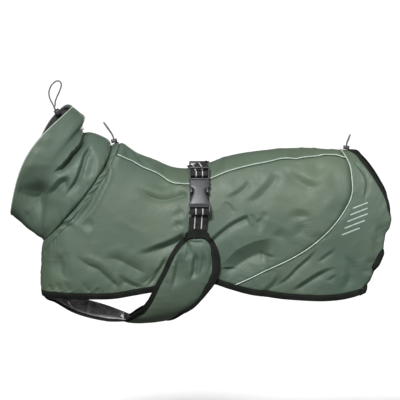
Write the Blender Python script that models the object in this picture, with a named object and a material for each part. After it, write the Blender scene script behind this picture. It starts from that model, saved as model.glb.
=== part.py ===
"""A dog's winter coat, filled out as it is when worn, with nobody in it.

The dog would face -X with its back up, +Z. The left side is at -Y. The origin
is on the inside of the back, under the girth strap. All tables are in mm.

The body is a skin over slanting sections. A place on it is (u, angle): u runs
from the neck seam (0) to past the tail (1.08), and angle from the middle of the
back (0) round to the middle of the belly (pi). Seams and edges are drawn as
they are seen from the left side and a little above, and found on the skin.
"""

import math

import bmesh
import bpy
import numpy as np

MM = 0.001
SEEN_RAISE = math.radians(7)  # the side view looks down on the coat by this much
GAP = 0.2 * MM  # each piece stops this short of its seam line
CLOTH = 1.6 * MM
BINDING = 2.6 * MM
LINING = 1.0 * MM
PIPING_RADIUS = 1.1 * MM
CORD_DIAMETER = 2.5 * MM
WEB_WIDTH = 31 * MM
WEB_THICK = 1.6 * MM
HEM_BINDING_WIDTH = 10.5 * MM
EDGE_BINDING_WIDTH = 8 * MM
STRIP_GAP = 0.4 * MM  # the chest strip bends sharply, so its pieces stop shorter
LEFT, RIGHT = -1, 1

U_CHANNEL = 0.045  # the neck's cord channel ends here

# u, top of the back x and z, middle of the belly x and z, half-width, bow to the rear
BODY_SECTIONS = np.array([
    (0.00, -142, 35, -256, -122, 58, 10),
    (0.04, -131, 40, -259, -138, 62, 10),
    (0.08, -122, 39, -260, -158, 65, 9),
    (0.12, -112, 32, -261, -180, 68, 8),
    (0.18, -95, 21, -260, -206, 71, 6),
    (0.26, -67, 11, -250, -236, 74, 4),
    (0.34, -45, 1, -215, -250, 75, 3),
    (0.42, -22, -3, -130, -254, 75, 1),
    (0.50, 0, 0, -30, -250, 74, 0),
    (0.56, 20, 7, 30, -252, 74, 1),
    (0.64, 47, 17, 70, -260, 73, 3),
    (0.70, 72, 22, 100, -268, 72, 6),
    (0.78, 110, 28, 135, -276, 71, 13),
    (0.86, 155, 32, 175, -280, 70, 26),
    (0.92, 188, 32, 205, -282, 69, 38),
    (0.96, 222, 30, 228, -284, 66, 50),
    (1.00, 238, 29, 245, -285, 64, 57),
    (1.04, 257, 29, 257, -285, 60, 65),
    (1.08, 275, 28, 272, -285, 56, 70),
])
ROUND_ABOVE, ROUND_BELOW = 2.2, 2.7  # superellipse powers over and under mid-height
BOW_SKEW = 0.66  # under 1 puts the widest place of the bow above mid-height

# w, nape x and z, throat x and z, half-width, bow and its skew on the left, on the right
COLLAR_RINGS = np.array([
    (0.00, -142, 35, -256, -122, 58, 10, 0.66, 10, 0.66),
    (0.12, -148, 45, -261, -119, 58, 8, 0.70, 8, 0.66),
    (0.25, -163, 53, -267, -116, 58, 3, 0.78, 3, 0.62),
    (0.40, -178, 59, -275, -109, 57, -4, 0.85, -4, 0.58),
    (0.50, -187, 62, -281, -104, 56, -8, 0.90, -7, 0.55),
    (0.58, -190, 70, -286, -99, 56, -12, 0.93, -10, 0.50),
    (0.68, -186, 82, -293, -92, 56, -16, 0.96, -14, 0.46),
    (0.80, -195, 92, -300, -86, 55, -20, 1.00, -17, 0.42),
    (1.00, -208, 102, -311, -77, 54, -26, 1.00, -21, 0.40),
])

# Seams and edges as seen from the side: x, z
SPINE_SEAM = [
    (-150, 27), (-128, 18), (-112, 11), (-92, 0), (-65, -12), (-42, -26), (-13, -29),
    (5, -27), (23, -20), (55, -7), (88, 2), (122, 9), (138, 13), (172, 14), (205, 19),
    (230, 19), (248, 14),
]
HAUNCH_SEAM = [
    (238, 29), (243, 22), (248, 14), (254, 0), (257, -22), (258, -35), (255, -52),
    (248, -67), (227, -97), (192, -130), (155, -153), (123, -168), (88, -185), (45, -203),
]
REAR_EDGE = [
    (257, 29), (265, 27), (275, 15), (290, -5), (307, -33), (317, -53), (321, -77),
    (319, -102), (315, -130), (307, -155), (294, -178), (285, -198), (279, -214),
    (275, -226),
]
# The hem's height, level around the chest: x, z
HEM = np.array([
    (-300, -213), (-195, -214), (-137, -213), (-112, -209), (-80, -203), (-28, -196),
    (28, -188), (53, -196), (88, -206), (122, -211), (158, -215), (222, -217),
    (247, -214), (263, -210), (277, -205), (290, -198),
])
# The belly panel's two edges, seen from the side, from the buckle down: x, z
WING_FRONT = [(-17, -114), (-29, -124), (-40, -138), (-48, -152), (-57, -172), (-67, -190),
              (-78, -212), (-85, -224), (-95, -235)]
WING_REAR = [(17, -112), (27, -122), (34, -141), (37, -158), (35, -180), (28, -194),
             (18, -208), (6, -222), (-7, -232)]
WING_FRONT_MIDDLE, WING_REAR_MIDDLE = -116, -36  # their x under the belly
STRIP_HALF_WIDTH = 33

# The chest strip between the legs: x and z of its middle line, rise of its right edge
CHEST_STRIP = np.array([
    (-236, -219, 8), (-226, -223, 12), (-212, -229, 17), (-195, -235, 19), (-178, -240, 19),
    (-162, -244, 18), (-145, -248, 15), (-130, -251, 9),
])

# Folds as seen from the side: start x and z, end x and z, bow down, width, depth
BODY_FOLDS = np.array([
    (22, -118, 84, -82, -9, 9, 7), (84, -80, 98, -96, 0, 8, 4),
    (24, -168, 122, -128, -10, 14, 7), (45, -42, 88, -13, -4, 10, 3),
    (80, -47, 127, -8, 8, 11, 4), (42, -57, 63, -75, 0, 7, 2),
    (120, -75, 190, -134, 12, 25, 6), (163, 2, 198, -38, 4, 14, 3),
    (-98, -25, -15, -42, 16, 13, 6), (-198, -148, -132, -200, 5, 12, 5),
    (-152, -143, -82, -173, 3, 12, 4), (-105, -146, -42, -122, 5, 13, 6),
    (-238, -140, -210, -172, 4, 14, 4), (-128, -182, -118, -208, 0, 8, 3),
    (-238, -192, -222, -212, 0, 8, 3), (258, 14, 275, -58, -8, 8, 3),
    (300, -92, 302, -140, 0, 9, 3), (160, -200, 232, -165, -5, 9, 4),
    (172, -165, 208, -136, -4, 9, 4), (196, -158, 226, -136, 0, 8, 3),
    (-112, 30, -90, 10, 0, 8, 2), (150, 20, 185, 22, 0, 8, 2),
])
COLLAR_FOLDS = np.array([
    (-187, 60, -240, -14, -7, 11, 13), (-166, 44, -222, -58, 7, 9, 7),
    (-209, -16, -256, -56, -5, 12, 7), (-292, -70, -276, -110, 0, 7, 5),
    (-252, 8, -282, -72, 4, 32, 7),
])

# Free cord loops, from over one side of the lock's top round to the other: x, y, z
COLLAR_LOOP = [
    (-3.5, -1.5, 7.5), (-6.6, -1.2, 13), (-10, -0.8, 21), (-11, -0.4, 29), (-9, 0, 37),
    (-4.5, 0.3, 44), (1.5, 0.5, 48.2), (6.5, 0.8, 48), (9.3, 1.2, 44.5), (9, 1.6, 38),
    (6, 2, 30), (2, 2.2, 21), (-0.8, 2, 13), (-1, 1.7, 7),
]
NECK_LOOP = [
    (-3, -3, 8), (-6.5, -5, 13.5), (-10.5, -6, 19), (-14, -5, 24), (-16.2, -2, 27),
    (-16.2, 2, 27), (-14, 5, 24), (-10.5, 6, 19), (-6.5, 5, 13.5), (-3, 3, 8),
]
TAIL_LOOP = [
    (1.6, -3.6, 7), (3.2, -5, 11), (4.8, -4.4, 15), (5.8, -1.8, 17.6), (5.8, 1.8, 17.6),
    (4.8, 4.4, 15), (3.2, 5, 11), (1.6, 3.6, 7),
]
CORD_APART = 1.6 * MM  # each end leaves the lock this far from its middle
# Cord locks: thickness, length and height
COLLAR_LOCK, NECK_LOCK, TAIL_LOCK = (9, 16, 8), (10, 16, 5.5), (10, 16, 5.5)
COLLAR_LOCK_AROUND = 0.62  # how far round inside the collar's rim from the nape, on the right
TAIL_LOCK_U = 1.022

# The strap's middle line: x over the back and at the buckle, and its rear turn lower down
STRAP_TOP_X, STRAP_SIDE_X = -1, 4
STRAP_LIFT = 3.8 * MM  # clears the spine piping that it crosses
BUCKLE_TOP_SEEN, BUCKLE_END_SEEN, WEB_END_SEEN = -7, -82, -122
UNDER_WING = 1.25 * MM  # the strap's lower end lies this far off the coat, inside the wing

# The buckle in its own frame, mm: across, down along the strap, out from the coat
BUCKLE_LENGTH, BUCKLE_CURVE = 86, 4.5
LADDER_HALF, LADDER_LENGTH, LADDER_THICK = 17, 25.5, 4.5
LADDER_SLOTS = [(3.5, 10), (18, 23)]
LADDER_SLOT_HALF = 14.5
SOCKET_OUTLINE = [(16.6, 25.9), (16.2, 40), (12.4, 41.6), (10, 46), (10.4, 52), (17, 70), (18, 73),
                  (18, 84), (16, 86)]
SOCKET_THICK = 8
SOCKET_SLOT = (76, 80.5)
ARM_INNER, ARM_OUTER, ARM_END = 12, 15, 49
ARM_LOW, ARM_HIGH = 2.5, 5.5

COLOURS = {  # red, green, blue, roughness
    "shell_fabric": (0.16, 0.22, 0.16, 0.5),
    "binding": (0.02, 0.025, 0.02, 0.8),
    "webbing": (0.03, 0.028, 0.028, 0.8),
    "piping": (0.4, 0.48, 0.42, 0.4),
    "lining": (0.22, 0.21, 0.21, 0.4),
    "collar_lining": (0.04, 0.04, 0.042, 0.9),
    "buckle_plastic": (0.1, 0.1, 0.12, 0.3),
    "cord": (0.06, 0.06, 0.06, 0.7),
}


# ---- meshes and materials ----

def material(name):
    found = bpy.data.materials.get(name)
    if found:
        return found
    made = bpy.data.materials.new(name)
    made.use_nodes = True
    *colour, roughness = COLOURS[name]
    surface = made.node_tree.nodes["Principled BSDF"]
    surface.inputs["Base Color"].default_value = (*colour, 1)
    surface.inputs["Roughness"].default_value = roughness
    surface.inputs["Metallic"].default_value = 0
    made.diffuse_color = (*colour, 1)
    return made


def add_object(name, data, slot):
    made = bpy.data.objects.new(name, data)
    made.data.materials.append(material(slot))
    bpy.context.scene.collection.objects.link(made)
    return made


def face_outward(mesh):
    """Turns the faces of a closed mesh outward."""
    shape = bmesh.new()
    shape.from_mesh(mesh)
    bmesh.ops.recalc_face_normals(shape, faces=shape.faces)
    if shape.calc_volume(signed=True) < 0:
        bmesh.ops.reverse_faces(shape, faces=shape.faces)
    shape.to_mesh(mesh)
    shape.free()


def mesh_object(name, points, faces, slot):
    mesh = bpy.data.meshes.new(name)
    mesh.from_pydata([tuple(p) for p in points], [], faces)
    face_outward(mesh)
    mesh.shade_smooth()
    mesh.set_sharp_from_angle(angle=math.radians(40))
    return add_object(name, mesh, slot)


def pull_in(sheet, gap, columns=True):
    """Moves a sheet's edges towards its middle by the seam gap."""
    sheet = sheet.copy()
    views = [sheet, sheet[::-1]]
    if columns:
        turned = np.swapaxes(sheet, 0, 1)
        views += [turned, turned[::-1]]
    for view in views:
        step = view[1] - view[0]
        view[0] += step / np.linalg.norm(step, axis=-1, keepdims=True) * gap
    return sheet


def shell(name, outer, inner, slot, ring=False, gap=GAP):
    """A closed wall between two sheets of points. A ring's columns close up."""
    outer, inner = (pull_in(sheet, gap, not ring) for sheet in (outer, inner))
    rows, columns = outer.shape[:2]
    points = np.concatenate([outer.reshape(-1, 3), inner.reshape(-1, 3)])
    under = rows * columns
    faces = []
    for i in range(rows - 1):
        for j in range(columns if ring else columns - 1):
            a, b = i * columns + j, i * columns + (j + 1) % columns
            c, d = a + columns, b + columns
            for face in ((a, b, c), (b, d, c)):
                faces += [face, tuple(k + under for k in reversed(face))]
    edges = []
    for j in range(columns if ring else columns - 1):
        after = (j + 1) % columns
        edges.append((j, after))
        edges.append(((rows - 1) * columns + after, (rows - 1) * columns + j))
    if not ring:
        for i in range(rows - 1):
            edges.append(((i + 1) * columns, i * columns))
            edges.append((i * columns + columns - 1, (i + 2) * columns - 1))
    faces += [(b, a, a + under, b + under) for a, b in edges]
    return mesh_object(name, points, faces, slot)


def tube(name, points, radius, slot, closed=False, roundness=1):
    curve = bpy.data.curves.new(name, "CURVE")
    curve.dimensions = "3D"
    curve.bevel_depth = radius
    curve.bevel_resolution = roundness
    curve.use_fill_caps = not closed
    line = curve.splines.new("POLY")
    line.points.add(len(points) - 1)
    for point, place in zip(line.points, points):
        point.co = (*place, 1)
    line.use_cyclic_u = closed
    line.use_smooth = True
    return add_object(name, curve, slot)


# ---- smooth curves ----

def through(knots, rows, at):
    """Smooth values at the given places, through rows of values at the knots."""
    knots, rows, at = (np.asarray(v, float) for v in (knots, rows, at))
    step = np.diff(knots)
    slope = np.diff(rows, axis=0) / step[:, None]
    bend = np.empty_like(rows)
    bend[0], bend[-1] = slope[0], slope[-1]
    before, after = step[:-1, None], step[1:, None]
    bend[1:-1] = (slope[:-1] * after + slope[1:] * before) / (before + after)
    k = np.clip(np.searchsorted(knots, at, side="right") - 1, 0, len(step) - 1)
    t = ((at - knots[k]) / step[k])[..., None]
    h = step[k][..., None]
    return (rows[k] * (2 * t**3 - 3 * t**2 + 1) + rows[k + 1] * (3 * t**2 - 2 * t**3)
            + h * bend[k] * (t**3 - 2 * t**2 + t) + h * bend[k + 1] * (t**3 - t**2))


def length_along(points):
    steps = np.linalg.norm(np.diff(points, axis=0), axis=1)
    return np.concatenate([[0], np.cumsum(steps)])


def smooth_line(points, count):
    """Evenly spaced points on a smooth curve through the given ones."""
    points = np.asarray(points, float)
    far = length_along(points)
    fine = through(far, points, np.linspace(0, far[-1], 400))
    return even(fine, count)


def even(points, count, measure=None):
    """The same line with evenly spaced points, measured along another line if given."""
    far = length_along(points if measure is None else measure)
    wanted = np.linspace(0, far[-1], count)
    return np.stack([np.interp(wanted, far, column) for column in points.T], axis=1)


# ---- folds ----

def fold_height(folds, x, z):
    """How far the cloth lies above its smooth form, at places seen from the side."""
    height = np.zeros_like(x)
    for start_x, start_z, end_x, end_z, bow, width, depth in folds * MM:
        along = np.array([end_x - start_x, end_z - start_z])
        size = np.linalg.norm(along)
        along = along / size
        t = ((x - start_x) * along[0] + (z - start_z) * along[1]) / size
        inside = np.clip(t, 0, 1)
        off = (z - start_z) * along[0] - (x - start_x) * along[1]
        off = off + bow * 4 * inside * (1 - inside) * np.sign(along[0] or 1)
        past = (t - inside) * size
        r = np.hypot(off, past) / width
        fade = 0.35 + 0.65 * np.sin(math.pi * inside)
        crest = 0.35 * np.exp(-(r - 1.9) ** 2 * 1.5)
        height += depth * fade * (crest - np.exp(-r * r))
    return height


# ---- the body's skin ----

def body_section(u):
    values = through(BODY_SECTIONS[:, 0], BODY_SECTIONS[:, 1:] * MM, u)
    top, bottom = values[..., 0:2], values[..., 2:4]
    return top, bottom, values[..., 4], values[..., 5]


def across(top, bottom):
    """The line from top to bottom: its direction, its length, and its rear normal."""
    line = bottom - top
    size = np.linalg.norm(line, axis=-1)
    direction = line / size[..., None]
    normal = np.stack([-direction[..., 1], direction[..., 0]], axis=-1)
    return direction, size, normal


def drop_and_reach(angle):
    """How far down a section the angle is, and how wide it is there, both 0 to 1."""
    c, s = np.cos(angle), np.abs(np.sin(angle))
    power = np.where(c >= 0, ROUND_ABOVE, ROUND_BELOW)
    drop = (1 - np.sign(c) * np.abs(c) ** (2 / power)) / 2
    return drop, s ** (2 / power)


def angle_of(drop):
    c = 1 - 2 * np.clip(drop, 0, 1)
    power = np.where(c >= 0, ROUND_ABOVE, ROUND_BELOW)
    return np.arccos(np.clip(np.sign(c) * np.abs(c) ** (power / 2), -1, 1))


def body_smooth(u, angle, side):
    """The body's smooth form. A side of -1 is the left, and 1 the right."""
    top, bottom, half, bow = body_section(u)
    drop, reach = drop_and_reach(angle)
    _, _, normal = across(top, bottom)
    place = top + (bottom - top) * drop[..., None]
    place = place + normal * (bow * np.sin(math.pi * drop**BOW_SKEW))[..., None]
    return np.stack([place[..., 0], side * half * reach, place[..., 1]], axis=-1)


def normals_of(surface, u, angle, side, way):
    """Outward normals. way is 1 where rising u runs to the rear, and -1 to the head."""
    d = 1e-3
    low, high = np.clip(angle, d, math.pi - d) - d, np.clip(angle, d, math.pi - d) + d
    along = surface(u + d, angle, side) - surface(u - d, angle, side)
    around = surface(u, high, side) - surface(u, low, side)
    normal = np.cross(around, along) * (-way * np.asarray(side))[..., None]
    return normal / np.linalg.norm(normal, axis=-1, keepdims=True)


def seen(points):
    """Where points show in the side view: x and height."""
    height = points[..., 2] * math.cos(SEEN_RAISE) + np.minimum(
        points[..., 1], -points[..., 1]) * math.sin(SEEN_RAISE)
    return points[..., 0], height


def body(u, angle, side, lift=0.0):
    """Points on the body with its folds, lifted off its outer face."""
    u, angle, side, lift = np.broadcast_arrays(
        *(np.asarray(v, float) for v in (u, angle, side, lift)))
    points = body_smooth(u, angle, side)
    normal = normals_of(body_smooth, u, angle, side, 1)
    x, z = seen(points)
    hidden = side > 0
    height = fold_height(BODY_FOLDS, np.where(hidden, x + 7 * MM, x),
                         np.where(hidden, z - 5 * MM, z)) * np.where(hidden, 0.85, 1.0)
    height = height * np.clip(np.abs(points[..., 1]) / (12 * MM), 0, 1)
    return points + normal * (height + lift)[..., None]


def find(x, z):
    """The u and angle of places given by their x and true height."""
    place = np.stack([x, z], axis=-1)
    low = np.full(x.shape, -0.02)
    high = np.full(x.shape, 1.1)
    for _ in range(40):
        u = (low + high) / 2
        top, bottom, _, bow = body_section(u)
        direction, size, normal = across(top, bottom)
        from_top = place - top
        drop = np.clip((from_top * direction).sum(-1) / size, 0, 1)
        behind = (from_top * normal).sum(-1) - bow * np.sin(math.pi * drop**BOW_SKEW)
        low, high = np.where(behind > 0, u, low), np.where(behind > 0, high, u)
    return u, angle_of(drop)


def find_seen(line, count):
    """The u and angle of a line that is given as it is seen from the side, in mm."""
    points = smooth_line(np.asarray(line, float) * MM, count)
    x, shown = points[:, 0], points[:, 1]
    z = shown.copy()
    for _ in range(12):
        u, angle = find(x, z)
        y = np.abs(body_smooth(u, angle, np.ones_like(u))[:, 1])
        z = 0.5 * z + 0.5 * (shown + y * math.sin(SEEN_RAISE)) / math.cos(SEEN_RAISE)
    return np.stack([u, angle], axis=1)


def hem_angle(u, rise):
    """The angle where the sections meet the hem line, or a line this far above it."""
    low, high = np.full(u.shape, math.pi / 2), np.full(u.shape, math.pi)
    for _ in range(40):
        angle = (low + high) / 2
        point = body_smooth(u, angle, np.ones_like(u))
        hem = through(HEM[:, 0] * MM, HEM[:, 1:] * MM, point[:, 0])[:, 0]
        above = point[:, 2] > hem + rise
        low, high = np.where(above, angle, low), np.where(above, high, angle)
    return (low + high) / 2


def hem_line(first, last, rise):
    """A fine line along the hem, or this far above it, from u = first to u = last."""
    u = np.linspace(first, last, 300)
    return np.stack([u, hem_angle(u, rise)], axis=1)


def chest_end(rise):
    """The u where the closed chest front ends at the hem."""
    u = np.linspace(0.05, 0.4, 1400)
    return u[np.argmax(hem_angle(u, rise) < math.pi - 1e-3)]


def cut_at_hem(line, rise):
    """A line down the body, stopped where it meets the hem."""
    below = line[:, 1] > hem_angle(line[:, 0], rise)
    return line[: int(np.argmax(below)) + 1] if below.any() else line


def patch(top, bottom, left, right):
    """Fills in (u, angle) between four edges that meet at their ends."""
    s = np.linspace(0, 1, len(top))[None, :, None]
    t = np.linspace(0, 1, len(left))[:, None, None]
    edges = (1 - t) * top[None] + t * bottom[None] + (1 - s) * left[:, None] + s * right[:, None]
    corners = ((1 - s) * (1 - t) * top[0] + s * (1 - t) * top[-1]
               + (1 - s) * t * bottom[0] + s * t * bottom[-1])
    return edges - corners


def on_body(places, side, lift):
    return body(places[..., 0], places[..., 1], side, lift)


def even_on_body(line, count):
    return even(line, count, on_body(line, LEFT, 0.0))


def matched_on_body(line, guide):
    """Points of one line at the shares of its length that the guide's have of its own."""
    shares = length_along(on_body(guide, LEFT, 0.0))
    far = length_along(on_body(line, LEFT, 0.0))
    wanted = shares / shares[-1] * far[-1]
    return np.stack([np.interp(wanted, far, column) for column in line.T], axis=1)


def body_shell(name, places, side, slot, thick=CLOTH, lift=0.0):
    return shell(name, on_body(places, side, lift), on_body(places, side, lift - thick), slot)


def shortened(points, start=0.0, end=0.0):
    """A line of points with its ends cut back by these lengths."""
    far = length_along(points)
    keep = [far[0] + start] + [f for f in far if start + 1 * MM < f < far[-1] - end - 1 * MM]
    keep.append(far[-1] - end)
    return np.stack([np.interp(keep, far, column) for column in points.T], axis=1)


# ---- the seam lines that the pieces share ----

COLUMNS_CHEST, COLUMNS_SIDE = 5, 20
ROWS_SIDE, ROWS_BACK, COLUMNS_HAUNCH = 14, 3, 8
PANEL_RISE = HEM_BINDING_WIDTH
U_UPRIGHT = 0.32  # the side panel's columns stay in one section ahead of this


def seam_lines():
    """The spine seam, the haunch seam and where they meet, and the rear binding's inner line."""
    spine = find_seen(SPINE_SEAM, 200)
    haunch = find_seen(HAUNCH_SEAM, 200)
    haunch[0, 1] = 0
    meet = np.argmin(np.linalg.norm((haunch - spine[-1]) * (1, 0.1), axis=1))
    spine[-1] = haunch[meet]
    inner = find_seen(inner_rear_edge(), 200)
    inner[0, 1] = 0
    return spine, haunch, meet, inner


def inner_rear_edge():
    """The rear edge, moved in by the width of its binding."""
    line = smooth_line(REAR_EDGE, 24)
    along = np.gradient(line, axis=0)
    along /= np.linalg.norm(along, axis=1)[:, None]
    inward = np.stack([along[:, 1], -along[:, 0]], axis=1)
    inward[0] = (-1, 0)
    return line + inward * EDGE_BINDING_WIDTH / MM


# ---- body panels ----

def side_panel_places(spine, haunch, meet):
    """The side panel, and its edges along the spine seam and the haunch seam."""
    down_haunch = even_on_body(cut_at_hem(haunch[meet:], PANEL_RISE), ROWS_SIDE + 1)
    end = chest_end(PANEL_RISE)
    front = np.stack([np.linspace(U_CHANNEL, end, COLUMNS_CHEST + 1),
                      np.full(COLUMNS_CHEST + 1, math.pi)], axis=1)
    hem = even_on_body(hem_line(end, down_haunch[-1, 0], PANEL_RISE), COLUMNS_SIDE + 1)
    bottom = np.concatenate([front, hem[1:]])
    share = np.clip((bottom[:, 0] - U_UPRIGHT) / (bottom[-1, 0] - U_UPRIGHT), 0, 1)
    lean = (spine[-1, 0] - bottom[-1, 0]) * share**1.3
    top_u = bottom[:, 0] + lean
    top = np.stack([top_u, np.interp(top_u, spine[:, 0], spine[:, 1])], axis=1)
    neck = np.stack([np.full(ROWS_SIDE + 1, U_CHANNEL),
                     np.linspace(top[0, 1], math.pi, ROWS_SIDE + 1)], axis=1)
    return patch(top, bottom, neck, down_haunch)


def back_panel_half(spine_edge, over_tail):
    middle_u = spine_edge[:, 0] + (over_tail[0, 0] - spine_edge[-1, 0]) * np.linspace(
        0, 1, len(spine_edge)) ** 6
    middle = np.stack([middle_u, np.zeros(len(middle_u))], axis=1)
    neck = np.stack([np.full(ROWS_BACK + 1, U_CHANNEL),
                     np.linspace(0, spine_edge[0, 1], ROWS_BACK + 1)], axis=1)
    return patch(middle, spine_edge, neck, over_tail)


def haunch_panel_places(seam, inner):
    rear_inner = even_on_body(cut_at_hem(inner, PANEL_RISE), len(seam))
    top = np.stack([np.linspace(seam[0, 0], rear_inner[0, 0], COLUMNS_HAUNCH + 1),
                    np.zeros(COLUMNS_HAUNCH + 1)], axis=1)
    bottom = even_on_body(hem_line(seam[-1, 0], rear_inner[-1, 0], PANEL_RISE),
                          COLUMNS_HAUNCH + 1)
    return patch(top, bottom, seam, rear_inner)


def add_piping(name, edge, side, start, end):
    """Piping that lies along a panel's edge."""
    points = on_body(edge, side, PIPING_RADIUS + 0.6 * MM)
    fine = smooth_line(points, round(1.6 * len(points)))
    tube(name, shortened(fine, start, end), PIPING_RADIUS, "piping")


def make_body(lines):
    spine, haunch, meet, inner = lines
    side_places = side_panel_places(spine, haunch, meet)
    over_tail = even(haunch[: meet + 1], ROWS_BACK + 1)
    half = back_panel_half(side_places[0], over_tail)
    both = np.concatenate([half[:0:-1], half])
    sides = np.concatenate([np.full(ROWS_BACK, LEFT), np.full(ROWS_BACK + 1, RIGHT)])
    body_shell("back_panel", both, sides[:, None], "shell_fabric")
    seam = np.concatenate([over_tail, side_places[1:, -1]])
    haunch_places = haunch_panel_places(seam, inner)
    for side, word in ((LEFT, "left"), (RIGHT, "right")):
        body_shell(f"side_panel_{word}", side_places, side, "shell_fabric")
        body_shell(f"haunch_panel_{word}", haunch_places, side, "shell_fabric")
        add_piping(f"spine_piping_{word}", side_places[0], side, 2 * MM, 3.2 * MM)
        add_piping(f"haunch_piping_{word}", seam, side, 1.8 * MM, 0.5 * MM)
    return side_places, haunch_places


def make_hem_bindings(lines, side_places, haunch_places):
    inner_edge = np.concatenate([side_places[-1, COLUMNS_CHEST:], haunch_places[-1, 1:]])
    corner = cut_at_hem(lines[-1], 0.0)[-1, 0]
    hem = matched_on_body(hem_line(chest_end(0.0), corner, 0.0), inner_edge)
    hem[0, 1] = math.pi
    places = np.stack([inner_edge, hem])
    for side, word in ((LEFT, "left"), (RIGHT, "right")):
        body_shell(f"hem_binding_{word}", places, side, "binding", BINDING, 0.5 * MM)


def make_rear_binding(lines, haunch_places):
    rear = find_seen(REAR_EDGE, 200)
    rear[0, 1] = 0
    inner_edge = np.concatenate([haunch_places[:, -1], cut_at_hem(lines[-1], 0.0)[-1:]])
    pair = [matched_on_body(cut_at_hem(rear, 0.0), inner_edge), inner_edge]
    pair = [np.concatenate([line[:0:-1], line]) for line in pair]
    count = len(inner_edge)
    sides = np.concatenate([np.full(count - 1, LEFT), np.full(count, RIGHT)])
    body_shell("rear_binding", np.stack(pair), sides[None], "binding", BINDING, 0.5 * MM)


def make_neck_channel():
    """The gathered tube for the neck's cord, between the collar and the body."""
    around = np.linspace(0, 2 * math.pi, 40, endpoint=False)
    side = np.where(around < math.pi, LEFT, RIGHT)
    angle = np.where(around < math.pi, around, 2 * math.pi - around)
    across_channel = np.array([0.0, 0.33, 0.67, 1.0])
    swell = np.array([0.4, 2.6, 2.4, 0.2]) * MM
    u = across_channel[:, None] * U_CHANNEL
    gathers = 0.9 * MM * np.sin(around * 20) * np.array([0, 1, 1, 0])[:, None]
    outer = body(u, angle[None], side[None], swell[:, None] + gathers)
    inner = body(u, angle[None], side[None], -CLOTH)
    shell("neck_channel", outer, inner, "shell_fabric", ring=True)


# ---- collar ----

def collar_smooth(w, angle, side):
    values = through(COLLAR_RINGS[:, 0], COLLAR_RINGS[:, 1:], w)
    top, bottom, half = values[..., 0:2] * MM, values[..., 2:4] * MM, values[..., 4] * MM
    left = np.asarray(side) < 0
    bow = np.where(left, values[..., 5], values[..., 7]) * MM
    skew = np.where(left, values[..., 6], values[..., 8])
    drop, reach = drop_and_reach(angle)
    _, _, normal = across(top, bottom)
    place = top + (bottom - top) * drop[..., None]
    place = place + normal * (bow * np.sin(math.pi * drop**skew))[..., None]
    return np.stack([place[..., 0], side * half * reach, place[..., 1]], axis=-1)


def collar(w, around, lift=0.0):
    """Points on the collar, around from the nape down the left side and back."""
    w, around, lift = np.broadcast_arrays(*(np.asarray(v, float) for v in (w, around, lift)))
    side = np.where(around < math.pi, LEFT, RIGHT)
    angle = np.where(around < math.pi, around, 2 * math.pi - around)
    points = collar_smooth(w, angle, side)
    normal = normals_of(collar_smooth, w, angle, side, -1)
    x, z = seen(points)
    hidden = side > 0
    height = fold_height(COLLAR_FOLDS, np.where(hidden, x + 5 * MM, x), z)
    height = height * np.where(hidden, 0.8, 1.0) * np.clip((1 - w) / 0.12, 0, 1)
    height = height * np.clip(w / 0.08, 0, 1)
    return points + normal * (height + lift)[..., None]


COLLAR_STEPS = np.array(
    [0, 0.08, 0.16, 0.25, 0.33, 0.41, 0.48, 0.55, 0.62, 0.69, 0.77, 0.88, 1.0])
COLLAR_LINING_FROM = 7  # the lining starts at this ring


def make_collar():
    around = np.linspace(0, 2 * math.pi, 40, endpoint=False)
    w = COLLAR_STEPS[:, None]
    shell("collar", collar(w, around), collar(w, around, -CLOTH), "shell_fabric", ring=True)
    inside = -CLOTH - 0.6 * MM
    lined = w[COLLAR_LINING_FROM:]
    shell("collar_lining", collar(lined, around, inside), collar(lined, around, inside - LINING),
          "collar_lining", ring=True)
    tube("collar_piping", collar(0.985, around, PIPING_RADIUS + 0.4 * MM), PIPING_RADIUS,
         "piping", closed=True)


# ---- belly panel ----

BELLY_LIFT = 3.6 * MM  # its inner face clears the hem's binding, which it lies over
BELLY_OUTER = BELLY_LIFT + CLOTH
BELLY_BINDING_OUTER = BELLY_LIFT + BINDING - 0.4 * MM
ROWS_WING, ROWS_MIDDLE = 13, 2
EDGE_MM = EDGE_BINDING_WIDTH / MM
STRIP_INSIDE = -3.3 * MM  # the strip's end lies this far inside the chest's outer face


def wing_edge(line, middle, way, inset):
    """One edge of the belly panel on the left, from the buckle to the middle of the belly."""
    line = np.array(line, float)
    along = np.gradient(line, axis=0)
    along /= np.linalg.norm(along, axis=1)[:, None]
    line = line + np.stack([-along[:, 1], along[:, 0]], axis=1) * way * inset
    places = find_seen(line, 60)
    under, _ = find(np.array([(middle + way * inset) * MM]), np.array([-0.26]))
    steps = np.linspace(0, 1, 60)[1:]
    last = places[-1]
    way_on = np.array([under[0], math.pi]) - last
    rest = last + way_on * np.stack([steps**0.8, steps], axis=1)
    return np.concatenate([places, rest])


def split_at_width(line, half_width):
    """Cuts an edge where it comes within this distance of the middle of the belly."""
    wide = np.abs(on_body(line, LEFT, 0.0)[:, 1]) > half_width * MM
    wide[: len(line) // 3] = True
    cut = int(np.argmin(wide))
    return line[: cut + 1], line[cut:]


def mirrored(line):
    """Rows from the left buckle to the middle, carried on to the right buckle."""
    return np.concatenate([line, line[-2::-1]])


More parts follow.
